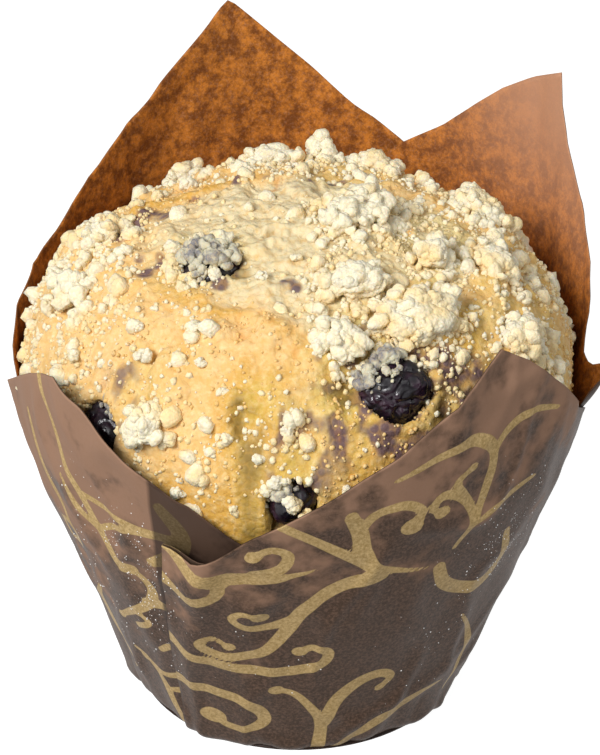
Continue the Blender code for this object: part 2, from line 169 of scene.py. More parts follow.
# Berries: azimuth, distance from the axis, radius, depth of the centre under the crust, and drop
# straight down (mm).
BERRIES = {
    "berry_front_right": (292, 38.2, 5.8, 2.4, 0.0),
    "berry_top_left": (229, 21.0, 5.2, 3.4, 0.0),
    "berry_left_edge": (226, 43.0, 4.6, 3.2, 2.0),
    "berry_front_edge": (269, 43.8, 4.2, 3.0, 3.8),
}

# The crust's lip round the sunken pale top: azimuth and distance from the axis (mm).
LIP = [(0, 26), (26, 20), (60, 13), (88, 10), (125, 12), (154, 18), (177, 30), (205, 31), (232, 28),
       (255, 29), (275, 34), (295, 36), (320, 33), (343, 30), (360, 26)]

# Places on the dome, each by azimuth, distance from the axis, reach (mm) and strength.
HOLLOWS = [(280, 37.4, 2.6, 1.5), (249, 11.1, 1.25, 2.0), (200, 11.6, 0.8, 1.3), (261, 42.4, 2.2, 2.2),
           (258, 40.6, 1.3, 1.6), (224, 42.4, 2.0, 2.0), (286, 34.5, 2.6, 0.9), (300, 42.0, 2.6, 1.0),
           (245, 20.2, 1.9, 1.0), (30, 24, 1.6, 1.2), (95, 30, 2.4, 1.6), (140, 26, 2.0, 1.3)]
SWELLS = [(236, 33, 9.0, 0.7), (265, 36, 7.0, 0.6), (310, 35, 6.0, 0.7), (340, 30, 8.0, 1.0),
          (20, 33, 7.0, 1.1), (170, 34, 8.0, 0.9), (120, 30, 8.0, 0.8), (205, 24, 7.0, 0.5)]
STAINS = [(137, 13.4, 1.7, 0.8), (128, 12.2, 1.5, 0.8), (118, 11.2, 1.2, 0.5), (88, 9.8, 1.4, 0.8),
          (76, 9.9, 1.9, 1.0), (64, 11.0, 1.9, 1.0), (54, 13.0, 1.8, 0.9), (98, 3.6, 1.6, 0.5),
          (171, 24.0, 2.0, 0.9), (183, 27.6, 2.0, 0.9), (167, 19.4, 1.4, 0.8), (160, 17.4, 1.2, 0.7),
          (207, 27.0, 1.8, 0.8), (240, 23.4, 1.8, 0.9), (177, 26.3, 2.6, 1.0), (212, 26.0, 2.6, 0.9),
          (174, 20.9, 2.2, 0.7),
          (267, 23.0, 1.8, 0.9), (272, 27.0, 1.4, 0.6), (277, 36.8, 3.4, 0.7),
          (279, 40.6, 3.2, 0.8), (309, 40.0, 4.0, 0.8), (300, 40.0, 3.4, 0.6), (292, 38.2, 8.2, 1.0),
          (303, 39.5, 5.0, 0.8), (283, 36.0, 3.4, 0.6),
          (229, 21.0, 6.0, 0.6), (245, 20.2, 3.0, 0.8), (270, 43.4, 5.2, 0.7), (229, 41.6, 5.2, 0.6),
          (140, 28, 4.0, 0.6), (40, 34, 3.0, 0.5)]
GREENISH = [(280, 37.0, 6.0, 1.0), (290, 33.0, 7.0, 0.8), (320, 30.0, 9.0, 0.7), (345, 22.0, 9.0, 0.6),
            (262, 40.5, 4.0, 0.8), (300, 43.0, 6.0, 0.6), (335, 38.0, 8.0, 0.6), (270, 43.0, 4.0, 0.8),
            (10, 36.0, 8.0, 0.5), (60, 16.0, 8.0, 0.4), (234, 40.0, 4.0, 0.5), (225, 21.0, 7.0, 0.6)]
PALE = [(270, 8.0, 17.0, 1.0), (300, 22.0, 12.0, 0.8), (250, 18.0, 6.0, 0.5), (340, 18.0, 12.0, 0.7),
        (190, 14.0, 8.0, 0.4), (285, 30.0, 7.0, 0.5)]
BROWNED = [(262, 43.0, 9.0, 0.9), (285, 42.5, 8.0, 0.8), (245, 41.0, 8.0, 0.5), (310, 42.0, 9.0, 0.7),
           (240, 30.0, 8.0, 0.35), (170, 22.0, 8.0, 0.6), (140, 17.0, 7.0, 0.5), (200, 42.0, 9.0, 0.3),
           (90, 34.0, 16.0, 0.7), (40, 38.0, 12.0, 0.6), (150, 38.0, 14.0, 0.6), (350, 41.0, 9.0, 0.5)]
CRUMBLY = [(194, 35.0, 9.0, 1.0), (180, 30.0, 7.0, 1.0), (208, 36.0, 8.0, 0.7), (170, 36.0, 9.0, 0.9),
           (225, 21.5, 5.6, 1.1), (110, 20.0, 9.0, 1.0), (80, 20.0, 9.0, 1.0), (55, 24.0, 9.0, 1.0),
           (333, 10.0, 8.0, 1.1), (0, 14.0, 8.0, 0.9), (285, 24.0, 6.5, 0.9), (281, 31.0, 4.6, 0.9),
           (303, 31.5, 8.5, 1.0), (328, 24.0, 7.0, 0.8), (345, 31.5, 8.0, 1.0), (22, 31.0, 9.0, 1.1),
           (331, 39.5, 6.5, 0.9), (5, 38.0, 7.0, 0.9), (238, 41.5, 3.4, 0.8), (252, 43.5, 3.2, 0.8),
           (268, 43.0, 3.4, 0.8), (241, 32.0, 4.0, 0.5), (262, 41.0, 3.6, 0.4), (222, 30.0, 6.0, 0.4),
           (130, 34.0, 10.0, 0.8), (90, 36.0, 12.0, 0.7), (50, 38.0, 9.0, 0.6), (292, 38.0, 3.0, 0.5),
           (215, 41.0, 6.0, 0.4)]
BARE = [(262, 12.0, 6.0, 0.7), (250, 27.0, 6.0, 0.7), (262, 33.0, 6.0, 0.8), (295, 41.0, 4.0, 0.8)]

# The large lumps: azimuth, distance from the axis and half sizes round, down and out (mm).
LUMPS = {
    "crumb_top_front": (333, 10, 8.6, 5.0, 2.6),
    "crumb_right_front": (304, 31.5, 8.2, 5.2, 3.4),
    "crumb_middle_upper": (290, 24, 5.4, 3.6, 2.8),
    "crumb_middle_lower": (281, 32.5, 3.4, 4.0, 2.8),
    "crumb_right_high": (18, 30, 5.6, 4.6, 3.2),
    "crumb_right_mid": (343, 30.5, 4.4, 4.0, 3.2),
    "crumb_right_low": (328, 38.5, 5.2, 3.8, 3.0),
    "crumb_right_small": (326, 24, 3.0, 2.8, 2.6),
    "crumb_back_left": (101, 22, 5.2, 3.6, 2.8),
    "crumb_back_middle": (80, 24, 3.2, 3.2, 3.6),
    "crumb_back_right": (61, 25, 4.0, 3.4, 2.6),
    "crumb_back_low": (124, 34, 4.6, 3.8, 3.0),
    "crumb_back_edge": (80, 37, 4.2, 3.4, 2.8),
    "crumb_left_high": (180, 30, 4.2, 3.6, 2.8),
    "crumb_left_low": (196, 36, 4.6, 3.6, 2.6),
    "crumb_edge_left": (239, 42.2, 3.4, 3.6, 3.0),
}
FRONT_LUMPS = ("crumb_top_front", "crumb_right_front", "crumb_middle_upper", "crumb_middle_lower",
               "crumb_right_high", "crumb_right_mid", "crumb_right_low", "crumb_edge_left",
               "crumb_right_small")

# Crumbs lodged between the crust and the paper: azimuth, radius, height and size across (mm).
LODGED = [(249.5, 44.3, 53.5, 5.0), (247, 44.0, 57.0, 2.6), (268.4, 44.2, 57.6, 3.8),
          (264.0, 43.4, 59.6, 3.0),
          (271.5, 44.4, 56.0, 2.2), (258, 43.6, 55.5, 2.4), (290, 44.0, 59.0, 1.8), (279, 44.2, 59.4, 2.0)]

# How berries are dusted with crumbs: number, least lean towards the favoured side, that side.
DUSTED = {
    "berry_front_right": (70, 0.70, (-0.52, -0.05, 0.85)),
    "berry_top_left": (150, 0.50, (-0.42, -0.05, 0.91)),
    "berry_left_edge": (70, 0.62, (0.62, 0.1, 0.78)),
    "berry_front_edge": (36, 0.72, (-0.45, -0.35, 0.82)),
}

# Middling crumbs set one by one: azimuth, distance from the axis and size across (mm).
LOOSE_CRUMBS = [(233, 23.4, 3.6), (226, 16.8, 4.0), (219, 20.5, 3.6), (223, 25.0, 3.8),
                (237, 18.0, 3.0), (231, 26.4, 3.0), (214, 18.0, 3.2), (209, 22.0, 3.4),
                (256, 22.0, 2.0), (300, 12.0, 3.4), (290, 19.0, 2.8), (312, 9.0, 3.6), (355, 6.0, 3.8),
                (200, 27.5, 3.4), (241, 32.2, 3.0), (194, 38.5, 3.6), (188, 33.0, 3.2), (184, 37.0, 4.2),
                (200, 34.0, 3.6), (206, 37.0, 3.0), (212, 33.0, 2.8), (176, 27.0, 3.6), (170, 30.5, 4.0),
                (164, 26.0, 3.2), (156, 24.0, 3.0), (146, 21.5, 3.4), (132, 22.0, 3.2), (120, 21.0, 3.6),
                (95, 24.0, 4.0), (68, 25.0, 4.0), (48, 22.0, 3.4), (44, 28.0, 4.2), (35, 26.0, 3.4),
                (30, 31.5, 4.4), (12, 33.0, 4.0), (8, 28.0, 3.4), (356, 30.0, 3.4), (350, 36.5, 4.2),
                (357, 36.0, 3.2), (338, 36.0, 3.0), (340, 27.0, 3.2), (320, 22.0, 2.8), (318, 28.5, 3.6),
                (312, 34.5, 3.2), (296, 27.5, 3.8), (292, 31.5, 3.4), (288, 28.0, 3.6), (276, 27.5, 3.2),
                (276, 33.0, 3.0), (350, 9.0, 4.2), (320, 5.0, 3.2), (345, 17.0, 3.6), (10, 19.0, 3.0),
                (308, 15.0, 3.0), (270, 17.0, 2.2), (236, 22.5, 3.2), (222, 18.0, 3.2), (218, 24.0, 3.4),
                (228, 24.5, 3.0), (262, 43.0, 2.6), (268, 41.4, 2.4), (266, 43.8, 3.0), (256, 42.2, 2.2),
                (233, 37.0, 2.4), (247, 36.0, 1.8), (254, 38.5, 1.6), (227, 34.0, 2.2), (214, 40.0, 2.4),
                (100, 33.0, 3.8), (112, 38.0, 3.4), (60, 36.0, 3.6), (140, 33.0, 4.0), (150, 39.0, 3.4),
                (20, 38.5, 3.2), (342, 41.0, 3.0), (325, 41.5, 2.6), (244, 42.8, 3.0), (296, 37.0, 2.2),
                (290, 34.0, 2.4)]

# White sugar on the paper: azimuth and slant height of each patch, its reach in each (degrees and
# millimetres) and strength.
SUGARED = [(236, 40, 6, 9, 1.0), (232, 28, 6, 10, 0.5), (226, 46, 8, 8, 0.35), (215, 30, 10, 12, 0.12),
           (318, 46, 8, 7, 0.6), (322, 40, 6, 6, 0.8), (312, 34, 8, 8, 0.3), (305, 24, 9, 12, 0.1),
           (335, 12, 8, 10, 0.08), (260, 22, 14, 8, 0.05), (60, 35, 12, 14, 0.12), (130, 30, 16, 12, 0.08)]


def settings():
    """The add-on's settings in this scene."""
    return bpy.context.scene.muffin_finish


# ---------------------------------------------------------------- noise and small helpers

def smooth(values):
    """Ease from 0 to 1."""
    values = np.clip(values, 0.0, 1.0)
    return values * values * (3 - 2 * values)


def noise(points, size, seed):
    """Gradient noise, about -1 to 1, with lumps one size across.  Points are rows of x, y, z."""
    draw = np.random.default_rng(seed)
    table = draw.permutation(256)
    slopes = draw.normal(size=(256, 3))
    slopes /= np.linalg.norm(slopes, axis=1)[:, None]
    scaled = np.asarray(points, float) / size + 512.37
    cell = np.floor(scaled).astype(int)
    part = scaled - cell
    ease = part ** 3 * (part * (part * 6 - 15) + 10)
    total = np.zeros(len(scaled))
    for corner in range(8):
        step = np.array([corner & 1, corner >> 1 & 1, corner >> 2 & 1])
        spot = cell + step
        key = table[spot[:, 0] & 255]
        key = table[(key + spot[:, 1]) & 255]
        key = table[(key + spot[:, 2]) & 255]
        weight = np.prod(np.where(step, ease, 1 - ease), axis=1)
        total += weight * np.sum(slopes[key] * (part - step), axis=1)
    return total * 1.5


def layered(points, size, seed, layers=3, gain=0.5):
    """Several sizes of noise, each half the last."""
    total = np.zeros(len(points))
    for layer in range(layers):
        total += noise(points, size / 2 ** layer, seed + layer) * gain ** layer
    return total


def ridged(points, size, seed):
    """Noise with thin raised lines where it changes sign, from 0 to 1."""
    return np.exp(-(noise(points, size, seed) / 0.16) ** 2)


def knots(table, azimuth, low):
    """Values on a line through (azimuth, value) knots, for azimuths taken from low upwards."""
    wrapped = (np.asarray(azimuth, float) - low) % 360.0 + low
    return np.interp(wrapped, [place for place, _ in table], [value for _, value in table])


def plan(azimuth, distance):
    """Plan position of a place on the dome."""
    turn = np.radians(azimuth)
    return np.stack([distance * np.cos(turn), distance * np.sin(turn)], axis=-1)


def patches(places, spots):
    """How strongly each place is covered by round soft-edged spots."""
    cover = np.zeros(len(places))
    for azimuth, distance, reach, strength in spots:
        gap = np.linalg.norm(places - plan(azimuth, distance), axis=1) / reach
        cover = np.maximum(cover, strength * np.exp(-gap ** 4 * 0.7))
    return cover


def make_object(name, vertices, faces, finish, shade=True):
    """A mesh piece from points in millimetres and faces of three or four corners."""
    mesh = bpy.data.meshes.new(name)
    mesh.from_pydata((np.asarray(vertices) * MM).tolist(), [], faces)
    mesh.validate()
    if shade:
        mesh.shade_smooth()
    piece = bpy.data.objects.new(name, mesh)
    bpy.context.scene.collection.objects.link(piece)
    if finish:
        mesh.materials.append(finish)
    return piece


def add_values(piece, name, values):
    """A number for each vertex."""
    layer = piece.data.attributes.new(name, 'FLOAT', 'POINT')
    layer.data.foreach_set("value", np.asarray(values, dtype=np.float32))


def grid_faces(columns, rows, start=0, closed=True, flip=False):
    """Quads between columns of rows vertices each."""
    faces = []
    for column in range(columns if closed else columns - 1):
        following = (column + 1) % columns
        for row in range(rows - 1):
            quad = (start + column * rows + row, start + following * rows + row,
                    start + following * rows + row + 1, start + column * rows + row + 1)
            faces.append(quad[::-1] if flip else quad)
    return faces


# ---------------------------------------------------------------- wall of the case

def wall_points(azimuth, slant, offset):
    """Points up the wall, moved outwards by the offset.  All in degrees and millimetres."""
    lean = np.radians(knots(LEAN, azimuth, -10.0))
    bend = np.where(np.abs(lean) < 1e-4, 1e-4, lean) / LEAN_LENGTH
    curved = np.clip(slant - LEAN_START, 0, LEAN_LENGTH)
    beyond = np.maximum(slant - LEAN_START - LEAN_LENGTH, 0)
    angle = WALL_SLOPE + bend * curved
    straight = np.minimum(slant, LEAN_START)
    radius = BASE_RADIUS + math.sin(WALL_SLOPE) * straight
    radius = radius + (math.cos(WALL_SLOPE) - np.cos(angle)) / bend + np.sin(angle) * beyond
    height = math.cos(WALL_SLOPE) * straight
    height = height + (np.sin(angle) - math.sin(WALL_SLOPE)) / bend + np.cos(angle) * beyond
    radius = radius + np.cos(angle) * offset
    height = height - np.sin(angle) * offset
    turn = np.radians(azimuth)
    return np.stack([radius * np.cos(turn), radius * np.sin(turn), height], axis=-1)


def wall_radius(azimuth, height):
    """Inner radius of the case at a height."""
    slant = height / math.cos(WALL_SLOPE)
    for _ in range(5):
        slant = slant + height - wall_points(azimuth, slant, 0.0)[..., 2]
    point = wall_points(azimuth, slant, 0.0)
    return np.hypot(point[..., 0], point[..., 1])


class PaperPath:
    """The paper's way round the case, column by column, through every layer of every pleat."""

    def __init__(self):
        self.foot, self.rim, self.top, self.reference = [], [], [], []
        self.lift_foot, self.lift_rim, self.petal, self.outer = [], [], [], []

    def add(self, foot, rim, top, lift_foot, lift_rim, petal, outer, reference=None):
        """One column: azimuths, end height, offsets, petal, whether it shows, height of the rim."""
        for store, value in zip((self.foot, self.rim, self.top, self.lift_foot, self.lift_rim,
                                 self.petal, self.outer, self.reference),
                                (foot, rim, top, lift_foot, lift_rim, petal, outer, reference or top)):
            store.append(value)

    def layer(self, name, kind, forward):
        """One layer of a pleat, from its root to its fold or the other way."""
        over, under, fold, root, stand_off, bow = PLEATS[name]
        shares = np.linspace(0, 1, PLEAT_COLUMNS)
        for share in shares if forward else shares[::-1]:
            foot = root[0] + (fold[0] - root[0]) * share
            rim = root[1] + (fold[1] - root[1]) * share
            out_foot = 2 * LAYER
            out_rim = 2 * LAYER + stand_off * share ** 1.6 + bow * math.sin(math.pi * share) ** 2
            if kind == "under":
                self.add(foot, rim, knots(PETALS[under], rim, PETALS[under][0][0]), 0, 0, under, False)
            elif kind == "middle":
                low = knots(PETALS[under], root[1], PETALS[under][0][0])
                high = knots(PETALS[over], fold[1], PETALS[over][0][0])
                rim_height = knots(PETALS[over], rim, PETALS[over][0][0])
                self.add(foot, rim, low + (high - low) * share - 0.3 * (1 - share), out_foot - LAYER,
                         out_rim - LAYER, over, False, rim_height)
            else:
                top = knots(PETALS[over], rim, PETALS[over][0][0])
                self.add(foot, rim, top, out_foot, out_rim, over, True)

    def body(self, start, end, petal, lift_start, lift_end, step):
        """The single paper between two pleats, settling down from the doubled paper at its ends."""
        span = end[1] - start[1]
        count = int(span / step)
        for index in range(1, count):
            share = index / count
            foot = start[0] + (end[0] - start[0]) * share
            rim = start[1] + (end[1] - start[1]) * share
            lift = lift_start * (1 - smooth(share * span / RELAX_DEGREES))
            lift = lift + lift_end * (1 - smooth((1 - share) * span / RELAX_DEGREES))
            top = knots(PETALS[petal], rim, PETALS[petal][0][0])
            self.add(foot, rim, top, float(lift), float(lift), petal, True)


def paper_path():
    """Every column of the paper in order, starting at the front pleat."""
    path = PaperPath()
    front, right, back, left = (PLEATS[name] for name in ("front", "right", "back", "left"))

    def after(pair):
        return tuple(value + 360 for value in pair)

    path.layer("front", "under", False)
    path.layer("front", "middle", True)
    path.layer("front", "outer", False)
    path.body(front[3], right[3], "front_right", 2 * LAYER, 2 * LAYER, 0.7)
    path.layer("right", "outer", True)
    path.layer("right", "middle", False)
    path.layer("right", "under", True)
    path.body(right[2], after(back[2]), "back_right", 0, 0, 1.5)
    path.layer("back", "under", False)
    path.layer("back", "middle", True)
    path.layer("back", "outer", False)
    path.body(back[3], left[2], "back_left", 2 * LAYER, 0, 1.5)
    path.layer("left", "under", False)
    path.layer("left", "middle", True)
    path.layer("left", "outer", False)
    path.body(left[3], front[2], "front_left", 2 * LAYER, 0, 0.8)
    return path


def paper_waves(azimuth, slant):
    """Slight swells and creases of the paper, as an offset from the plain wall."""
    flat = wall_points(azimuth.ravel(), slant.ravel(), 0.0)
    stretched = flat * (1, 1, 0.45)
    rise = np.clip(slant.ravel() / 60, 0, 1.6)
    swell = layered(stretched, 15.0, 11, 2) * (0.22 + 0.25 * rise)
    petal_wave = noise(flat, 26.0, 15) * 0.9 * smooth((slant.ravel() - 62) / 30)
    creases = ridged(stretched, 11.0, 21) * 0.36 + ridged(flat * (1, 1, 0.7), 16.0, 25) * 0.4
    foot = np.exp(-slant.ravel() / 9.0)
    gathers = (np.abs(noise(flat * (1, 1, 0.12), 5.5, 31)) - 0.3) * 1.3 * foot
    ripple = noise(stretched, 4.2, 41) * 0.05
    return (swell + petal_wave + creases - 0.25 + gathers + ripple).reshape(slant.shape)


def curled_ends(azimuth, slant, petals):
    """How far the free ends of petals curl outwards, by place."""
    curl = np.zeros(slant.shape)
    for petal, middle, width, start, height, reach in CURLS:
        turn = ((azimuth - middle + 180) % 360 - 180) / width
        bend = reach * np.exp(-turn ** 2) * smooth((slant - start) / height)
        curl += bend * (petals == petal)[:, None]
    return curl


def curve_through(points, per_stretch=10):
    """A smooth line through given points."""
    points = np.asarray(points, float)
    padded = np.vstack([2 * points[0] - points[1], points, 2 * points[-1] - points[-2]])
    line = []
    for index in range(1, len(padded) - 2):
        before, here, there, beyond = padded[index - 1:index + 3]
        for step in range(per_stretch):
            t = step / per_stretch
            line.append(0.5 * (2 * here + (there - before) * t
                               + (2 * before - 5 * here + 4 * there - beyond) * t * t
                               + (3 * here - before - 3 * there + beyond) * t ** 3))
    line.append(points[-1])
    return np.array(line)


def scroll_distance(across, up, scrolls):
    """Distance to the nearest printed line's edge in millimetres, negative inside it."""
    place = np.stack([across, up], axis=-1)
    nearest = np.full(len(place), 9.0)
    for points, widths, end_radius in scrolls:
        line = curve_through(points)
        share = np.linspace(0, 1, len(line))
        half = np.interp(share, [0, 0.5, 1], widths) / 2
        for index in range(len(line) - 1):
            start, along = line[index], line[index + 1] - line[index]
            reach = np.clip((place - start) @ along / max(along @ along, 1e-9), 0, 1)
            gap = np.linalg.norm(place - start - reach[:, None] * along, axis=1)
            nearest = np.minimum(nearest, gap - half[index] - reach * (half[index + 1] - half[index]))
        if end_radius:
            gap = np.linalg.norm((place - line[-1]) * (1.0, 1.15), axis=1)
            nearest = np.minimum(nearest, gap - end_radius)
    return nearest


def build_case_mesh(rows):
    """Thin folded paper, both faces, with the print's edge distance on every vertex."""
    path = paper_path()
    share = np.linspace(0, 1, rows)[None, :]
    foot, rim, top, lift_foot, lift_rim, reference = (
        np.array(values, float)[:, None] for values in (path.foot, path.rim, path.top, path.lift_foot,
                                                        path.lift_rim, path.reference))
    slant = 0.4 + (top - 0.4) * share
    rise = (slant - 0.4) / (reference - 0.4)
    azimuth = foot + (rim - foot) * rise
    lift = lift_foot + (lift_rim - lift_foot) * rise ** 1.4 + paper_waves(azimuth, slant)
    lift = lift + curled_ends(azimuth, slant, np.array(path.petal))
    lift = lift - 0.7 * np.clip(1 - slant / 2.0, 0, 1) ** 2
    half = settings().paper_thickness / MM / 2
    direction = normals_of_path(wall_points(azimuth, slant, lift))
    middle = wall_points(azimuth, slant, lift)
    outside = (middle + direction * half).reshape(-1, 3)
    inside = (middle - direction * half).reshape(-1, 3)
    columns = len(path.foot)
    count = columns * rows
    faces = grid_faces(columns, rows) + grid_faces(columns, rows, count, flip=True)
    for column in range(columns):
        following = (column + 1) % columns
        a, b = column * rows, following * rows
        faces.append((a, count + a, count + b, b))
        a, b = a + rows - 1, b + rows - 1
        faces.append((b, count + b, count + a, a))
    across, up = petal_coordinates(path, azimuth, slant)
    edge = np.full(azimuth.shape, 9.0)
    petals = np.array(path.petal)
    for petal, scrolls in SCROLLS.items():
        chosen = petals == petal
        flat = scroll_distance(across[chosen].ravel(), up[chosen].ravel(), scrolls)
        edge[chosen] = flat.reshape(across[chosen].shape)
    vertices = np.vstack([outside, inside])
    vertices, faces = add_base(vertices, faces)
    extra = len(vertices) - 2 * count
    side = np.concatenate([np.ones(count), np.zeros(count), np.ones(extra)])
    values = {"side": side}
    for name, array in (("print_edge", edge), ("slant", slant), ("azimuth", azimuth)):
        values[name] = np.concatenate([np.tile(array.ravel(), 2), np.full(extra, 9.0)])
    shows = np.repeat(np.array(path.outer, float), rows)
    values["shows"] = np.concatenate([shows, np.zeros(count + extra)])
    return vertices, faces, values


def normals_of_path(points):
    """Outward directions of a grid of points, columns round and rows up."""
    round_way = np.roll(points, -1, axis=0) - np.roll(points, 1, axis=0)
    up_way = np.gradient(points, axis=1)
    direction = np.cross(round_way, up_way)
    length = np.linalg.norm(direction, axis=-1, keepdims=True)
    return direction / np.maximum(length, 1e-9)


def petal_coordinates(path, azimuth, slant):
    """Millimetres across and up each petal's flattened cone."""
    middle = np.array([PETAL_MIDDLE[petal] for petal in path.petal])[:, None]
    turn = (azimuth - middle + 180) % 360 - 180
    fan = np.radians(turn) * math.sin(WALL_SLOPE)
    reach = CONE_APEX + slant
    return reach * np.sin(fan), reach * np.cos(fan) - CONE_APEX


def add_base(vertices, faces, radius=27.6, thick=0.3, count=96):
    """The flat round bottom of the case, a thin closed disc."""
    start = len(vertices)
    turn = np.linspace(0, 2 * math.pi, count, endpoint=False)
    ring = np.stack([radius * np.cos(turn), radius * np.sin(turn), np.zeros(count)], axis=-1)
    lower = np.vstack([ring, [[0, 0, 0]]])
    upper = lower + (0, 0, thick)
    vertices = np.vstack([vertices, lower, upper])
    top = start + count + 1
    for index in range(count):
        following = (index + 1) % count
        faces.append((start + following, start + index, start + count))
        faces.append((top + index, top + following, top + count))
        faces.append((start + index, start + following, top + following, top + index))
    return vertices, faces


# ---------------------------------------------------------------- the dome

def dome_normal(places):
    """Outward normals of the plain dome over plan positions."""
    fall = np.sqrt(np.maximum(1 - (places ** 2).sum(1) / CROWN_RADIUS ** 2, 1e-4))
    direction = np.column_stack([places / CROWN_RADIUS ** 2, fall / DOME_RISE])
    return direction / np.linalg.norm(direction, axis=1)[:, None]


def dome_plain(places):
    """Points of the plain dome over plan positions."""
    fall = np.sqrt(np.maximum(1 - (places ** 2).sum(1) / CROWN_RADIUS ** 2, 0))
    return np.column_stack([places, CROWN_HEIGHT + DOME_RISE * fall])


def lip_gap(places):
    """Distance outside the crust's lip, negative on the pale top inside it."""
    azimuth = np.degrees(np.arctan2(places[:, 1], places[:, 0])) % 360
    spot = np.column_stack([places, np.zeros(len(places))])
    return np.linalg.norm(places, axis=1) - knots(LIP, azimuth, 0.0) - noise(spot, 7.0, 71) * 2.2


def dome_relief(places):
    """Height of the crust over the plain dome in millimetres."""
    spot = np.column_stack([places, np.full(len(places), 3.0)])
    relief = layered(spot, 17.0, 51, 2) * 0.9
    relief += patches(places, SWELLS)
    gap = lip_gap(places)
    relief += 0.75 * np.exp(-(gap / 1.5) ** 2) * (0.5 + 0.6 * noise(spot, 9.0, 81))
    relief -= 0.5 * smooth(-gap / 3.0)
    crags = smooth((layered(spot, 5.0, 61, 3) + 0.1) * 1.6)
    relief += (crags - 0.5) * 0.9
    rough = 0.35 + 0.65 * smooth(gap / 3.0)
    relief += (crust_grains(places) - 0.6) * 1.1 * rough
    relief += layered(spot, 1.6, 91, 2) * 0.16
    pits = noise(spot, 1.25, 95)
    relief -= smooth((pits - 0.42) * 4.0) * 0.4
    cracks = ridged(spot, 8.0, 101) * smooth((noise(spot, 12.0, 105) - 0.05) * 3)
    relief -= cracks * 0.9
    for azimuth, distance, reach, depth in HOLLOWS:
        offset = places - plan(azimuth, distance)
        wobble = 1 + 0.35 * noise(spot, 1.8, 111)
        gap = np.linalg.norm(offset, axis=1) / (reach * wobble)
        relief -= depth * np.exp(-gap ** 4)
    edge = smooth((CROWN_RADIUS - np.linalg.norm(places, axis=1)) / 5.0)
    return relief * (0.35 + 0.65 * edge)


def crust_point(azimuth, distance, lift=0.0):
    """A point on the crust, raised along its normal, and that normal."""
    place = plan(np.array([float(azimuth)]), np.array([min(distance, CROWN_RADIUS - 0.4)]))
    normal = dome_normal(place)[0]
    point = dome_plain(place)[0] + normal * (dome_relief(place)[0] + lift)
    return point, normal


def inside_case(points, gap):
    """The points, drawn in where they would come nearer to the paper than the gap."""
    radius = np.hypot(points[:, 0], points[:, 1])
    azimuth = np.degrees(np.arctan2(points[:, 1], points[:, 0]))
    limit = wall_radius(azimuth, np.maximum(points[:, 2], 0.1)) - gap
    factor = np.where(radius > 14, np.minimum(1.0, limit / np.maximum(radius, 1e-6)), 1.0)
    return points * np.column_stack([factor, factor, np.ones(len(points))])


def berry_frame(name):
    """Centre, normal and radius of a berry, sunk in the crust."""
    azimuth, distance, radius, depth, drop = BERRIES[name]
    place = plan(np.array([float(azimuth)]), np.array([distance]))
    normal = dome_normal(place)[0]
    return dome_plain(place)[0] - normal * depth - (0, 0, drop), normal, radius


def sink_sockets(points):
    """Bend the crust down round each berry, with a small raised rim."""
    for name in BERRIES:
        centre, normal, radius = berry_frame(name)
        offset = points - centre
        height = offset @ normal
        flat = offset - height[:, None] * normal
        across = np.linalg.norm(flat, axis=1)
        near = (np.linalg.norm(offset, axis=1) < radius * 2.2) & (height > -radius)
        across = across * (1 + 0.13 * noise(points, 1.7, 161) + 0.06 * noise(points, 0.8, 162))
        bowl = -np.sqrt(np.maximum(radius ** 2 - across ** 2, 0)) - 0.25
        inside = near & (across < radius * 0.94)
        rim = np.exp(-((across - radius * 1.12) / (radius * 0.16)) ** 2) * 0.35
        drop = np.where(inside, np.minimum(bowl - height, 0), 0)
        edge = smooth((radius * 0.94 - across) / 0.5)
        points = points + normal * (drop * edge + np.where(near & ~inside, rim, 0))[:, None]
    return points


def build_cake_mesh():
    """The cake's skin, tapered under the crown and craggy over the dome, with its colour masks."""
    azimuths = np.linspace(0, 360, CAKE_SEGMENTS, endpoint=False)
    rings = []
    side_heights = CAKE_FOOT + (CROWN_HEIGHT - 3 - CAKE_FOOT) * np.linspace(0, 1, SIDE_RINGS)
    for height in side_heights:
        radius = min(BASE_RADIUS + height * math.tan(WALL_SLOPE), CROWN_RADIUS)
        ring = plan(azimuths, np.full(CAKE_SEGMENTS, radius))
        rings.append(np.column_stack([ring, np.full(CAKE_SEGMENTS, height)]))
    for index in range(DOME_RINGS):
        angle = math.radians(90) * index / DOME_RINGS
        radius = CROWN_RADIUS * math.cos(angle)
        places = plan(azimuths, np.full(CAKE_SEGMENTS, radius))
        points = dome_plain(places) + dome_normal(places) * dome_relief(places)[:, None]
        rings.append(points)
    peak, _ = crust_point(0.0, 0.0)
    points = np.stack(rings, axis=1).reshape(-1, 3)
    points = np.vstack([points, [peak], [[0, 0, CAKE_FOOT]]])
    points = inside_case(sink_sockets(points), CAKE_GAP)
    rows = SIDE_RINGS + DOME_RINGS
    faces = grid_faces(CAKE_SEGMENTS, rows)
    top, bottom = CAKE_SEGMENTS * rows, CAKE_SEGMENTS * rows + 1
    for segment in range(CAKE_SEGMENTS):
        following = (segment + 1) % CAKE_SEGMENTS
        faces.append((segment * rows + rows - 1, following * rows + rows - 1, top))
        faces.append((following * rows, segment * rows, bottom))
    return points, faces


def crust_grains(places):
    """The crust's crumbly lumps, from 0 in the clefts to 1 on the lumps."""
    spot = np.column_stack([places, np.full(len(places), 3.0)])
    bent = spot + np.column_stack([noise(spot, 2.6, 63), noise(spot, 2.6, 64), noise(spot, 2.6, 65)]) * 0.8
    return packed(bent, 3.4, 66) * 0.6 + packed(bent, 1.6, 67) * 0.4


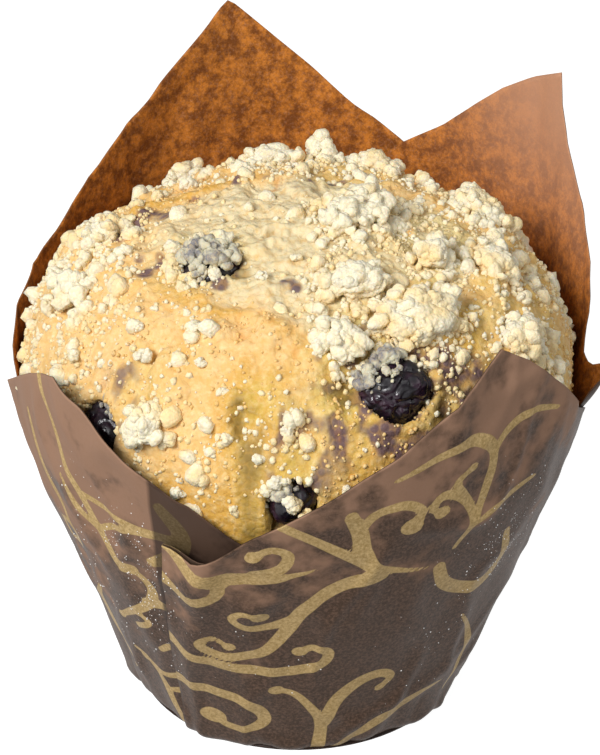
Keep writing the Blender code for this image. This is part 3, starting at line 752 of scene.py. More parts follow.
def cake_masks(points):
    """Colour, painted shade and crumb masks over the cake, one number a vertex each."""
    places = points[:, :2]
    spot = points * (1, 1, 0.6)
    low = smooth((CROWN_HEIGHT + 2 - points[:, 2]) / 5.0)
    gap = lip_gap(places)
    wander = noise(spot, 6.0, 121) * 0.25
    pale = np.clip(patches(places, PALE) + 0.35 * smooth(-gap / 4) + wander, 0, 1)
    browned = np.clip(patches(places, BROWNED) + wander + low * 0.6
                      + 0.5 * np.exp(-(gap / 1.8) ** 2), 0, 1.2)
    stains = patches(places, STAINS) * smooth(layered(spot, 3.2, 131, 2) + 0.62)
    greenish = patches(places, GREENISH) * smooth(noise(spot, 5.0, 141) + 0.9)
    crumbly = patches(places, CRUMBLY)
    clear = 1 - patches(places, BARE)
    outside_case = smooth((points[:, 2] - CROWN_HEIGHT + 2) / 3.0)
    patchy = smooth(noise(spot, 4.5, 151) + 0.65)
    # Painted shade in the hollows of the crust.
    hollow_shade = patches(places, [(*spots[:2], spots[2] * 0.8, min(spots[3] * 0.8, 1.0)) for spots in HOLLOWS])
    hollow_shade = hollow_shade * smooth(noise(spot, 1.6, 157) + 1.1)
    fine = (0.04 + crumbly * (0.25 + 0.75 * patchy ** 2)) * clear * outside_case
    coarse = (0.02 + crumbly ** 2 * patchy) * clear * outside_case
    grit = np.clip(1.15 - pale * 1.3, 0, 1) * outside_case * smooth(noise(spot, 3.4, 155) + 0.85)
    return {"pale": pale, "browned": browned, "stain": np.clip(stains, 0, 1), "greenish": greenish,
            "fine_crumbs": fine, "coarse_crumbs": coarse, "crag": crust_grains(places), "grit": grit,
            "hollow_shade": hollow_shade}


# ---------------------------------------------------------------- lumps

def ball(detail):
    """Directions and faces of a finely divided ball."""
    mesh = bmesh.new()
    bmesh.ops.create_icosphere(mesh, subdivisions=detail, radius=1.0)
    directions = np.array([vertex.co.normalized() for vertex in mesh.verts])
    faces = [tuple(vertex.index for vertex in face.verts) for face in mesh.faces]
    mesh.free()
    return directions, faces


def nodule_reach(directions, count, size, draw):
    """Distance out to the skin of a unit ball made of many smaller ones, by direction."""
    way = draw.normal(size=(count, 3))
    way /= np.linalg.norm(way, axis=1)[:, None]
    radii = draw.uniform(0.65, 1.35, count) * size
    centres = way * (draw.uniform(0.80, 1.04, count) - radii)[:, None]
    along = directions @ centres.T
    inside = radii ** 2 - ((centres ** 2).sum(1) - along ** 2)
    reach = np.where(inside > 0, along + np.sqrt(np.maximum(inside, 0)), 0).max(axis=1)
    return np.maximum(reach, 0.72)


def skin_normals(points, faces):
    """Outward direction at every point of a closed skin of triangles."""
    corners = points[np.array(faces)]
    across = np.cross(corners[:, 1] - corners[:, 0], corners[:, 2] - corners[:, 0])
    total = np.zeros_like(points)
    for corner in range(3):
        np.add.at(total, np.array(faces)[:, corner], across)
    return total / np.maximum(np.linalg.norm(total, axis=1), 1e-12)[:, None]


def packed(points, size, seed):
    """Rounded grains packed side by side, about one size across: 1 on top of each, 0 between."""
    draw = np.random.default_rng(seed)
    table = draw.permutation(256)
    spots = draw.uniform(0.1, 0.9, (256, 3))
    scaled = np.asarray(points, float) / size + 512.21
    cell = np.floor(scaled).astype(int)
    nearest = np.full(len(scaled), 9.0)
    for step in np.ndindex(3, 3, 3):
        corner = cell + step - 1
        key = table[corner[:, 0] & 255]
        key = table[(key + corner[:, 1]) & 255]
        key = table[(key + corner[:, 2]) & 255]
        nearest = np.minimum(nearest, np.linalg.norm(corner + spots[key] - scaled, axis=1))
    return np.sqrt(np.clip(1 - (nearest / 0.95) ** 2, 0, 1))


def crumb_shape(halves, detail, nodule, count, seed, roughness, grain=1.15):
    """A clump of streusel: irregular knobs covered in packed grains."""
    draw = np.random.default_rng(seed)
    directions, faces = ball(detail)
    reach = nodule_reach(directions, count, nodule, draw) + layered(directions, 0.5, seed, 2) * 0.07
    points = directions * reach[:, None] * halves
    grains = (packed(points + seed * 3.0, grain, seed) - 0.6) * 0.75
    grains += (packed(points * 1.01 + seed * 5.0, grain * 0.52, seed + 1) - 0.6) * (0.6 if detail > 4 else 0)
    points = points + skin_normals(points, faces) * (grains * roughness)[:, None]
    return points, faces


def small_kinds(count, detail, seed):
    """Knobbly crumbs one millimetre across, to be scaled and piled."""
    return [crumb_shape((0.56, 0.44, 0.38), detail, 0.36, 10, seed + index, 0.46, 0.4)
            for index in range(count)]


def random_way(draw):
    """A random direction."""
    way = draw.normal(size=3)
    return way / np.linalg.norm(way)


def piled(kinds, spots, sizes, draw):
    """Small crumbs of given sizes, each turned at random about its spot."""
    shapes = []
    for spot, size in zip(spots, sizes):
        points, faces = kinds[draw.integers(len(kinds))]
        stretch = size * draw.uniform(0.85, 1.2, 3)
        shapes.append((turned(points * stretch, random_way(draw), draw.uniform(0, 6.28)) + spot, faces))
    return shapes


def pile_spots(halves, count, draw):
    """Places over the upper part of an ellipsoid."""
    ways = np.array([random_way(draw) for _ in range(count)])
    ways[:, 2] = np.abs(ways[:, 2]) * 1.05 - 0.3
    return ways * halves * draw.uniform(0.6, 0.98, count)[:, None]


def lump_frame(azimuth, distance, rise):
    """Centre of a lump seated on the dome, and its axes round, down and out of the dome."""
    place = plan(np.array([float(azimuth)]), np.array([distance]))
    normal = dome_normal(place)[0]
    turn = math.radians(azimuth)
    along = np.array((-math.sin(turn), math.cos(turn), 0.0))
    return dome_plain(place)[0] + normal * rise, np.array([along, np.cross(normal, along), normal])


def build_lump(values, fine, seed):
    """One large lump: a knobbly core, crumbs piled over it and crumbs spilt round its foot."""
    azimuth, distance, *halves = values
    halves = np.array(halves)
    draw = np.random.default_rng(seed)
    centre, axes = lump_frame(azimuth, distance, halves[2] * 0.4)
    core, faces = crumb_shape(halves * (0.84, 0.84, 0.8), 5 if fine else 4, 0.34, 30, seed, 0.9)
    shapes = [(core @ axes + centre, faces)]
    count = int(np.clip((1.35 if fine else 0.9) * halves[0] * halves[1], 14, 46))
    kinds = small_kinds(6, 3, seed * 10)
    sizes = 1.1 + 2.5 * draw.random(count) ** 1.9
    shapes += piled(kinds, pile_spots(halves, count, draw) @ axes + centre, sizes, draw)
    turn = draw.uniform(0, 2 * math.pi, count)
    reach = draw.uniform(0.9, 1.32, count)
    foot = np.column_stack([np.cos(turn) * halves[0] * reach, np.sin(turn) * halves[1] * reach,
                            np.zeros(count)]) @ axes + centre
    places = foot[:, :2] * np.minimum(1, 43.0 / np.linalg.norm(foot[:, :2], axis=1))[:, None]
    sizes = 0.8 + 1.5 * draw.random(count) ** 2
    seats = dome_plain(places) + dome_normal(places) * (dome_relief(places) + sizes * 0.2)[:, None]
    return shapes + piled(small_kinds(5, 2, seed * 10 + 6), seats, sizes, draw)


def turned(points, normal, spin):
    """Points turned so that their Z lies along a normal, after a spin about it."""
    along = np.cross((0.0, 0.0, 1.0), normal)
    if np.linalg.norm(along) < 1e-6:
        along = np.array((1.0, 0.0, 0.0))
    along /= np.linalg.norm(along)
    down = np.cross(normal, along)
    first = along * math.cos(spin) + down * math.sin(spin)
    second = np.cross(normal, first)
    return points @ np.array([first, second, normal])


def join_shapes(shapes):
    """One list of points and faces from several shapes."""
    points, faces, start = [], [], 0
    for shape_points, shape_faces in shapes:
        points.append(shape_points)
        faces += [tuple(corner + start for corner in face) for face in shape_faces]
        start += len(shape_points)
    return np.vstack(points), faces


# ---------------------------------------------------------------- materials

class Tree:
    """A material's nodes, added one after another."""

    def __init__(self, name):
        self.material = bpy.data.materials.new(name)
        self.material.use_nodes = True
        self.nodes = self.material.node_tree.nodes
        self.links = self.material.node_tree.links
        self.shader = self.nodes["Principled BSDF"]
        self.place = self.new("ShaderNodeTexCoord").outputs["Object"]

    def new(self, kind, **values):
        """A node with plain settings."""
        node = self.nodes.new(kind)
        for key, value in values.items():
            setattr(node, key, value)
        return node

    def put(self, socket, value):
        """Link or set an input."""
        if isinstance(value, bpy.types.NodeSocket):
            self.links.new(value, socket)
        elif isinstance(value, (tuple, list)) or hasattr(value, "__len__"):
            socket.default_value = (*tuple(value)[:3], 1.0)
        else:
            socket.default_value = value

    def value(self, name):
        """A vertex number of the piece."""
        return self.new("ShaderNodeAttribute", attribute_name=name).outputs["Fac"]

    def maths(self, operation, first, second=0.0, clamp=False):
        """One sum."""
        node = self.new("ShaderNodeMath", operation=operation, use_clamp=clamp)
        self.put(node.inputs[0], first)
        self.put(node.inputs[1], second)
        return node.outputs[0]

    def axis(self, letter):
        """One coordinate in millimetres."""
        split = self.new("ShaderNodeSeparateXYZ")
        self.links.new(self.place, split.inputs[0])
        return self.maths('MULTIPLY', split.outputs[letter], 1000.0)

    def noise(self, size, detail=3.0, roughness=0.55, stretch=None):
        """Noise with lumps about one size (mm) across, from 0 to 1."""
        node = self.new("ShaderNodeTexNoise")
        place = self.place
        if stretch:
            mapping = self.new("ShaderNodeMapping")
            mapping.inputs["Scale"].default_value = stretch
            self.links.new(place, mapping.inputs["Vector"])
            place = mapping.outputs["Vector"]
        self.links.new(place, node.inputs["Vector"])
        node.inputs["Scale"].default_value = 1.0 / (size * MM)
        node.inputs["Detail"].default_value = detail
        node.inputs["Roughness"].default_value = roughness
        return node.outputs["Fac"]

    def cells(self, size):
        """Distance from the middle of grains one size (mm) across, from 0 to about 1."""
        node = self.new("ShaderNodeTexVoronoi")
        self.links.new(self.place, node.inputs["Vector"])
        node.inputs["Scale"].default_value = 1.0 / (size * MM)
        return node.outputs["Distance"]

    def ramp(self, value, low, high):
        """A value stretched so that low becomes 0 and high becomes 1, eased and clamped."""
        node = self.new("ShaderNodeMapRange", interpolation_type='SMOOTHSTEP')
        self.put(node.inputs["Value"], value)
        node.inputs["From Min"].default_value = low
        node.inputs["From Max"].default_value = high
        return node.outputs["Result"]

    def mix(self, share, first, second, blend='MIX'):
        """A blend of two colours."""
        node = self.new("ShaderNodeMix", data_type='RGBA', blend_type=blend)
        self.put(node.inputs["Factor"], share)
        self.put(node.inputs["A"], first)
        self.put(node.inputs["B"], second)
        return node.outputs["Result"]

    def bump(self, height, distance, strength=1.0):
        """Small relief, its height in millimetres."""
        node = self.new("ShaderNodeBump")
        node.inputs["Distance"].default_value = distance * MM
        node.inputs["Strength"].default_value = strength
        self.put(node.inputs["Height"], height)
        self.links.new(node.outputs["Normal"], self.shader.inputs["Normal"])

    def finish(self, colour, roughness, specular=0.4, subsurface=0.0, depth=1.5):
        """Set the shader's main inputs and hand over the material."""
        self.put(self.shader.inputs["Base Color"], colour)
        self.put(self.shader.inputs["Roughness"], roughness)
        self.shader.inputs["Specular IOR Level"].default_value = specular
        if subsurface:
            self.shader.inputs["Subsurface Weight"].default_value = subsurface
            self.shader.inputs["Subsurface Scale"].default_value = depth * MM
            self.shader.inputs["Subsurface Radius"].default_value = (1.0, 0.6, 0.3)
        return self.material


def paper_finish():
    """Greased brown baking paper, printed outside, plain and fibrous inside, with painted shade on the right,
    in the pleats and on the inner face towards the front.
    """
    look = settings().paper
    tree = Tree("printed_paper")
    slant, side = tree.value("slant"), tree.value("side")
    fibre = tree.noise(0.5, 4.0, 0.7)
    cloud = tree.noise(9.0, 3.0, 0.6)
    # Grease blotches from cloud noise, darker towards the bottom, with painted shade that darkens the paper
    # towards the right.
    grease_and_shade = tree.maths('SUBTRACT', cloud, tree.maths('MULTIPLY', slant, 0.008))
    grease_and_shade = tree.maths('ADD', grease_and_shade, tree.maths('MULTIPLY', tree.axis("X"), 0.003))
    grease_and_shade = tree.ramp(grease_and_shade, -0.04, 0.2)
    outside = tree.mix(grease_and_shade, look.dry_colour, look.grease_and_shade_colour)
    outside = tree.mix(tree.ramp(fibre, 0.35, 0.75), outside, tree.mix(0.35, outside, look.fibre_colour))
    edge = tree.maths('ADD', tree.value("print_edge"),
                      tree.maths('MULTIPLY', tree.maths('SUBTRACT', fibre, 0.5), 0.35))
    printed = tree.ramp(edge, 0.08, -0.08)
    gold = tree.mix(tree.ramp(fibre, 0.3, 0.75), look.print_shade, look.print_colour)
    gold = tree.mix(tree.maths('MULTIPLY', grease_and_shade, 0.12), gold, look.grease_and_shade_colour)
    outside = tree.mix(printed, outside, gold)
    inner_cloud = tree.noise(2.6, 6.0, 0.75)
    inside = tree.mix(tree.ramp(inner_cloud, 0.38, 0.62), look.inside_dark, look.inside_colour)
    speck = tree.maths('MULTIPLY', tree.ramp(tree.noise(0.8, 4.0, 0.8), 0.56, 0.38), 0.5)
    inside = tree.mix(speck, inside, look.inside_dark)
    pale_side = tree.ramp(tree.axis("X"), 16.0, 46.0)
    pale_high = tree.maths('MULTIPLY', pale_side, tree.ramp(slant, 62.0, 96.0))
    inside = tree.mix(pale_high, inside, look.inside_pale)
    inside = tree.mix(tree.maths('MULTIPLY', tree.ramp(fibre, 0.45, 0.8), 0.4), inside, look.inside_pale)
    shadow_print = tree.maths('MULTIPLY', tree.ramp(tree.value("print_edge"), 0.6, -0.4), 0.22)
    inside = tree.mix(shadow_print, inside, look.inside_dark)
    # Painted shade: the inner face darkens towards the front of the case.
    inside = tree.mix(tree.ramp(tree.axis("Y"), -4.0, -16.0), inside, look.grease_and_shade_colour)
    # Painted shade: the hidden layers inside each pleat are turned nearly black on their outer face.
    pleat_shade = tree.maths('MULTIPLY', tree.maths('SUBTRACT', 1.0, tree.value("shows")), 0.8)
    colour = tree.mix(side, inside, outside)
    colour = tree.mix(tree.maths('MULTIPLY', pleat_shade, side), colour, look.pleat_shade_colour)
    relief = tree.maths('ADD', fibre, tree.maths('MULTIPLY', tree.noise(2.2, 3.0, 0.6), 1.2))
    tree.bump(relief, 0.05, 0.6)
    rough = tree.maths('SUBTRACT', 0.66, tree.maths('MULTIPLY', grease_and_shade, 0.2))
    return tree.finish(colour, rough, 0.12)


def cake_finish():
    """Baked sponge: golden crust, pale top, juice stains and a slightly open crumb, with painted shade in the
    hollows and between the crust's lumps.
    """
    look = settings().cake
    tree = Tree("baked_sponge")
    cloud = tree.noise(6.0, 4.0, 0.6)
    grain = tree.noise(0.9, 4.0, 0.65)
    shift = tree.maths('MULTIPLY', tree.maths('SUBTRACT', cloud, 0.5), 0.7)
    pale = tree.ramp(tree.maths('ADD', tree.value("pale"), shift), 0.25, 0.95)
    browned = tree.ramp(tree.maths('ADD', tree.value("browned"), shift), 0.25, 1.05)
    colour = tree.mix(browned, look.crust_colour, look.browned_colour)
    colour = tree.mix(pale, colour, look.pale_colour)
    green = tree.maths('MULTIPLY', tree.value("greenish"), 0.75)
    colour = tree.mix(green, colour, look.greenish_colour)
    speckle = tree.maths('MULTIPLY', tree.ramp(grain, 0.42, 0.7), 0.45)
    colour = tree.mix(speckle, colour, look.crumb_colour)
    dots = tree.maths('MULTIPLY', tree.ramp(tree.noise(1.7, 3.0, 0.6), 0.56, 0.72), 0.4)
    colour = tree.mix(dots, colour, look.browned_colour)
    stain = tree.maths('ADD', tree.value("stain"), tree.maths('MULTIPLY', shift, 0.5))
    colour = tree.mix(tree.maths('MULTIPLY', tree.ramp(stain, 0.24, 0.72), 0.9), colour, look.stain_colour)
    # Painted shade: the hollows are darkened.
    colour = tree.mix(tree.maths('MULTIPLY', tree.value("hollow_shade"), 0.85), colour, look.hollow_shade_colour)
    cells = tree.cells(1.1)
    colour = tree.mix(tree.maths('MULTIPLY', tree.ramp(cells, 0.45, 0.8), 0.3), colour, look.browned_colour)
    # Painted shade: deeper orange and darker in the clefts between the crust's lumps.
    cleft_shade = tree.ramp(tree.value("crag"), 0.66, 0.3)
    colour = tree.mix(tree.maths('MULTIPLY', cleft_shade, 0.55), colour, look.cleft_shade_colour)
    relief = tree.maths('SUBTRACT', grain, tree.maths('MULTIPLY', cells, 0.9))
    tree.bump(relief, 0.3, 0.8)
    return tree.finish(colour, tree.maths('ADD', 0.5, tree.maths('MULTIPLY', cloud, 0.3)), 0.35, 0.12, 1.5)


def streusel_finish(name, toast, base=None):
    """Pale buttery crumb, toasted here and there."""
    look = settings().crumbs
    tree = Tree(name)
    toasted = tree.ramp(tree.maths('ADD', tree.noise(5.0, 2.0, 0.5), toast), 0.46, 0.74)
    colour = tree.mix(toasted, look.colour, look.toasted_colour)
    if base:
        colour = tree.mix(tree.ramp(tree.noise(3.0, 3.0, 0.6), 0.42, 0.6), base, look.juicy_colour)
    grain = tree.noise(0.5, 3.0, 0.65)
    colour = tree.mix(tree.maths('MULTIPLY', tree.ramp(grain, 0.55, 0.3), 0.35), colour, look.shade_colour)
    cells = tree.cells(0.55)
    colour = tree.mix(tree.maths('MULTIPLY', tree.ramp(cells, 0.4, 0.85), 0.3), colour, look.shade_colour)
    tree.bump(tree.maths('SUBTRACT', grain, cells), 0.22, 0.7)
    return tree.finish(colour, 0.85, 0.2, 0.2, 1.6)


def crust_grit_finish():
    """Crumbs of the crust itself, golden like it."""
    look = settings().cake
    tree = Tree("crust_grit")
    patch = tree.noise(1.6, 2.0, 0.6)
    browned = tree.maths('MULTIPLY', tree.ramp(patch, 0.4, 0.62), 0.35)
    colour = tree.mix(browned, look.crust_colour, look.browned_colour)
    light = tree.maths('MULTIPLY', tree.ramp(tree.noise(0.9, 2.0, 0.6), 0.5, 0.64), 0.5)
    return tree.finish(tree.mix(light, colour, look.crumb_colour), 0.75, 0.15, 0.2, 2.0)


def berry_finish():
    """Cooked berry skin: dark purple, wet and unevenly glossy."""
    look = settings().berries
    tree = Tree("cooked_berry")
    cloud = tree.noise(2.4, 3.0, 0.6)
    colour = tree.mix(tree.ramp(cloud, 0.4, 0.7), look.dark_colour, look.juice_colour)
    tree.bump(tree.noise(0.8, 3.0, 0.6), 0.12, 0.5)
    rough = tree.maths('ADD', 0.18, tree.maths('MULTIPLY', tree.ramp(tree.noise(1.6, 2.0), 0.4, 0.65), 0.4))
    return tree.finish(colour, rough, 0.5)


def sugar_finish():
    """White sugar grains."""
    tree = Tree("sugar_grain")
    glint = tree.ramp(tree.noise(0.3, 1.0), 0.4, 0.6)
    colour = tree.mix(glint, (0.78, 0.76, 0.72), (0.95, 0.94, 0.92))
    return tree.finish(colour, 0.35, 0.5)


# ---------------------------------------------------------------- scattering

def variant_collection(name, shapes, finish):
    """Small shapes kept out of sight for the scatter to pick from."""
    group = bpy.data.collections.new(name)
    for index, (points, faces) in enumerate(shapes):
        mesh = bpy.data.meshes.new(f"{name}_{index}")
        mesh.from_pydata((points * MM).tolist(), [], faces)
        mesh.shade_smooth()
        mesh.materials.append(finish)
        group.objects.link(bpy.data.objects.new(f"{name}_{index}", mesh))
    return group


def scatter_tree(name):
    """Nodes that strew a collection's shapes over a surface where a vertex number allows."""
    group = bpy.data.node_groups.new(name, 'GeometryNodeTree')
    face = group.interface
    for label, kind, default in (("Geometry", 'NodeSocketGeometry', None),
                                 ("Shapes", 'NodeSocketCollection', None),
                                 ("Mask", 'NodeSocketString', ""),
                                 ("Density", 'NodeSocketFloat', 1.0),
                                 ("Smallest", 'NodeSocketFloat', 1.0),
                                 ("Largest", 'NodeSocketFloat', 1.0),
                                 ("Seed", 'NodeSocketInt', 0),
                                 ("Material", 'NodeSocketMaterial', None)):
        socket = face.new_socket(name=label, in_out='INPUT', socket_type=kind)
        if default is not None:
            socket.default_value = default
    face.new_socket(name="Geometry", in_out='OUTPUT', socket_type='NodeSocketGeometry')
    nodes, links = group.nodes, group.links
    given = nodes.new("NodeGroupInput")
    mask = nodes.new("GeometryNodeInputNamedAttribute")
    mask.data_type = 'FLOAT'
    links.new(given.outputs["Mask"], mask.inputs["Name"])
    density = nodes.new("ShaderNodeMath")
    density.operation = 'MULTIPLY'
    links.new(mask.outputs["Attribute"], density.inputs[0])
    links.new(given.outputs["Density"], density.inputs[1])
    strew = nodes.new("GeometryNodeDistributePointsOnFaces")
    links.new(given.outputs["Geometry"], strew.inputs["Mesh"])
    links.new(density.outputs[0], strew.inputs["Density"])
    links.new(given.outputs["Seed"], strew.inputs["Seed"])
    shapes = nodes.new("GeometryNodeCollectionInfo")
    shapes.inputs["Separate Children"].default_value = True
    shapes.inputs["Reset Children"].default_value = True
    links.new(given.outputs["Shapes"], shapes.inputs["Collection"])
    size = random_node(nodes, links, given, 'FLOAT', 3)
    size.inputs[2].default_value = 0.0
    size.inputs[3].default_value = 1.0
    skew = nodes.new("ShaderNodeMath")
    skew.operation = 'POWER'
    links.new(size.outputs[1], skew.inputs[0])
    skew.inputs[1].default_value = 2.2
    scale = nodes.new("ShaderNodeMapRange")
    links.new(skew.outputs[0], scale.inputs["Value"])
    links.new(given.outputs["Smallest"], scale.inputs["To Min"])
    links.new(given.outputs["Largest"], scale.inputs["To Max"])
    spin = random_node(nodes, links, given, 'FLOAT_VECTOR', 9)
    spin.inputs[0].default_value = (-math.pi, -math.pi, -math.pi)
    spin.inputs[1].default_value = (math.pi, math.pi, math.pi)
    place = nodes.new("GeometryNodeInstanceOnPoints")
    place.inputs["Pick Instance"].default_value = True
    links.new(strew.outputs["Points"], place.inputs["Points"])
    links.new(shapes.outputs["Instances"], place.inputs["Instance"])
    links.new(spin.outputs[0], place.inputs["Rotation"])
    links.new(scale.outputs["Result"], place.inputs["Scale"])
    real = nodes.new("GeometryNodeRealizeInstances")
    links.new(place.outputs["Instances"], real.inputs["Geometry"])
    finish = nodes.new("GeometryNodeSetMaterial")
    links.new(real.outputs["Geometry"], finish.inputs["Geometry"])
    links.new(given.outputs["Material"], finish.inputs["Material"])
    result = nodes.new("NodeGroupOutput")
    links.new(finish.outputs["Geometry"], result.inputs["Geometry"])
    return group


def random_node(nodes, links, given, kind, seed):
    """A random value that follows the tree's seed."""
    node = nodes.new("FunctionNodeRandomValue")
    node.data_type = kind
    add = nodes.new("ShaderNodeMath")
    links.new(given.outputs["Seed"], add.inputs[0])
    add.inputs[1].default_value = seed
    links.new(add.outputs[0], node.inputs["Seed"])
    return node


def scatter(name, ground, values, finish):
    """Strew shapes over a copy of a piece's surface and keep them as one plain mesh."""
    carrier = bpy.data.objects.new(name + "_ground", ground.data.copy())
    bpy.context.scene.collection.objects.link(carrier)
    group = scatter_tree(name + "_scatter")
    strewn = carrier.modifiers.new("scatter", 'NODES')
    strewn.node_group = group
    values = dict(values, Material=finish)
    for item in group.interface.items_tree:
        if item.in_out == 'INPUT' and item.name in values:
            strewn[item.identifier] = values[item.name]
    bpy.context.view_layer.update()
    evaluated = carrier.evaluated_get(bpy.context.evaluated_depsgraph_get())
    mesh = bpy.data.meshes.new_from_object(evaluated)
    mesh.name = name
    carrier.modifiers.remove(strewn)
    bpy.data.objects.remove(carrier, do_unlink=True)
    if not mesh.polygons:
        raise RuntimeError(name + " came out empty")
    piece = bpy.data.objects.new(name, mesh)
    bpy.context.scene.collection.objects.link(piece)
    if not mesh.materials:
        mesh.materials.append(finish)
    return piece


# ---------------------------------------------------------------- settings

def colour(name, description, value):
    """A colour setting."""
    return FloatVectorProperty(name=name, description=description, default=value, subtype='COLOR',
                               size=3, min=0.0, max=1.0)


class PaperLook(bpy.types.PropertyGroup):
    """Colours of the case."""
    dry_colour: colour("Dry paper", "Outside where the paper is dry", (0.31, 0.18, 0.115))
    # The dark greasy colour also serves as painted shade: on the right of the outside, over the print there,
    # and on the inner face towards the front.
    grease_and_shade_colour: colour("Greasy paper", "Outside where butter has darkened it", (0.042, 0.024, 0.014))
    fibre_colour: colour("Fibres", "Lighter fibres in the paper", (0.34, 0.20, 0.14))
    print_colour: colour("Print", "Tan metallic-looking scrolls", (0.70, 0.50, 0.24))
    print_shade: colour("Print shade", "Darker grain of the scrolls", (0.38, 0.25, 0.09))
    # Painted shade for the paper hidden in the pleats: nearly black.
    pleat_shade_colour: colour("Tucked paper", "Paper inside a pleat", (0.018, 0.010, 0.008))
    inside_colour: colour("Inside", "Inner face in the light", (0.58, 0.20, 0.028))
    inside_dark: colour("Inside dark", "Greasy blotches of the inner face", (0.17, 0.052, 0.010))
    inside_pale: colour("Inside pale", "Dry inner face near the right tip", (0.50, 0.26, 0.155))


class CakeLook(bpy.types.PropertyGroup):
    """Colours of the cake."""
    crust_colour: colour("Crust", "Golden crust", (0.80, 0.51, 0.21))
    browned_colour: colour("Browned crust", "Deeper baked patches", (0.66, 0.36, 0.065))
    # Painted shade for the pores and cracks of the crust.
    hollow_shade_colour: colour("Hollows", "Dark sponge inside pores and cracks", (0.20, 0.12, 0.02))
    # Deeper orange with painted shade, for the clefts between the crust's lumps.
    cleft_shade_colour: colour("Clefts", "Deep orange between the crust's lumps", (0.62, 0.25, 0.03))
    pale_colour: colour("Pale top", "Pale sponge at the top", (0.74, 0.62, 0.38))
    crumb_colour: colour("Open crumb", "Light grain of the sponge", (0.88, 0.70, 0.38))
    greenish_colour: colour("Moist sponge", "Moist sponge near fruit", (0.58, 0.43, 0.08))
    stain_colour: colour("Juice", "Purple juice stains", (0.10, 0.055, 0.085))


class CrumbLook(bpy.types.PropertyGroup):
    """Colours and amounts of streusel and sugar."""
    colour: colour("Streusel", "Pale streusel", (0.89, 0.80, 0.60))
    toasted_colour: colour("Toasted streusel", "Warmer streusel", (0.90, 0.68, 0.36))
    shade_colour: colour("Streusel shade", "Darker grain", (0.72, 0.58, 0.32))
    stained_colour: colour("Stained streusel", "Greyish crumbs on the berries", (0.62, 0.58, 0.44))
    juicy_colour: colour("Juicy streusel", "Crumbs dark with juice", (0.22, 0.21, 0.22))
    fine_count: FloatProperty(name="Fine crumbs", description="Most fine crumbs on a square millimetre",
                              default=2.4, min=0.0)
    coarse_count: FloatProperty(name="Coarse crumbs", description="Most coarse crumbs on a square millimetre",
                                default=0.22, min=0.0)
    grit_count: FloatProperty(name="Crust grit", description="Most crust crumbs on a square millimetre",
                              default=0.6, min=0.0)
    sugar_count: FloatProperty(name="Sugar", description="Most sugar grains on a square millimetre",
                               default=3.6, min=0.0)
    seed: IntProperty(name="Seed", description="Changes where loose crumbs fall", default=4)


class BerryLook(bpy.types.PropertyGroup):
    """Colours of the berries."""
    dark_colour: colour("Skin", "Dark skin", (0.007, 0.005, 0.008))
    juice_colour: colour("Juice", "Purple where juice shows", (0.034, 0.012, 0.026))


class StageLook(bpy.types.PropertyGroup):
    """Light and camera."""
    key_power: FloatProperty(name="Key lamp", description="Power of the key lamp", default=7.4, unit='POWER')
    fill_power: FloatProperty(name="Fill lamp", description="Power of the fill lamp", default=1.1,
                              unit='POWER')
    sky: FloatProperty(name="Sky", description="Strength of the even light", default=0.27, min=0.0)
    floor_size: FloatProperty(name="Floor", description="Half width of the floor", default=3.0,
                              unit='LENGTH')


class MuffinFinish(bpy.types.PropertyGroup):
    """Everything that can be changed."""
    paper_thickness: FloatProperty(name="Paper", description="Thickness of the paper", default=0.0002,
                                   unit='LENGTH')
    case_rows: IntProperty(name="Case rows", description="Divisions up the case", default=108, min=12)
    paper: PointerProperty(type=PaperLook)
    cake: PointerProperty(type=CakeLook)
    crumbs: PointerProperty(type=CrumbLook)
    berries: PointerProperty(type=BerryLook)
    stage: PointerProperty(type=StageLook)


# ---------------------------------------------------------------- operators

def report_piece(piece, slot, *nodes):
    """Parent a finished piece to the body's empty and hide the CAD parts that it replaces."""
    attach(piece, BODY)
    if nodes:
        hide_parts(*nodes)


class MUFFIN_OT_case(bpy.types.Operator):
    """Fold the printed paper case"""
    bl_idname = "muffin.case"
    bl_label = "Paper case"

    def execute(self, context):
        vertices, faces, values = build_case_mesh(settings().case_rows)
        piece = make_object("paper_case", vertices, faces, paper_finish())
        for name, numbers in values.items():
            add_values(piece, name, numbers)
        report_piece(piece, "brown_paper", "wrap")
        return {'FINISHED'}


class MUFFIN_OT_cake(bpy.types.Operator):
    """Bake the cake with its crust, cracks and hollows"""
    bl_idname = "muffin.cake"
    bl_label = "Cake"

    def execute(self, context):
        points, faces = build_cake_mesh()
        piece = make_object("cake", points, faces, cake_finish())
        for name, numbers in cake_masks(points).items():
            add_values(piece, name, numbers)
        report_piece(piece, "baked_cake", "muffin")
        return {'FINISHED'}


class MUFFIN_OT_berries(bpy.types.Operator):
    """Set the cooked berries in the crust"""
    bl_idname = "muffin.berries"
    bl_label = "Berries"

    def execute(self, context):
        finish = berry_finish()
        for seed, name in enumerate(BERRIES):
            centre, normal, radius = berry_frame(name)
            directions, faces = ball(6 if radius > 5.5 else 5)
            reach = radius * (0.93 + 0.10 * noise(directions, 0.8, 200 + seed))
            reach -= ridged(directions, 0.6, 210 + seed) * radius * 0.07
            reach -= ridged(directions, 0.34, 214 + seed) * radius * 0.03
            reach += layered(directions, 0.2, 220 + seed, 2) * radius * 0.028
            points = turned(directions * reach[:, None] * (1.05, 0.97, 0.92), normal, seed * 1.3)
            points = inside_case(points + centre, CAKE_GAP)
            piece = make_object(name + "_skin", points, faces, finish)
            report_piece(piece, "berry_skin", name)
        return {'FINISHED'}


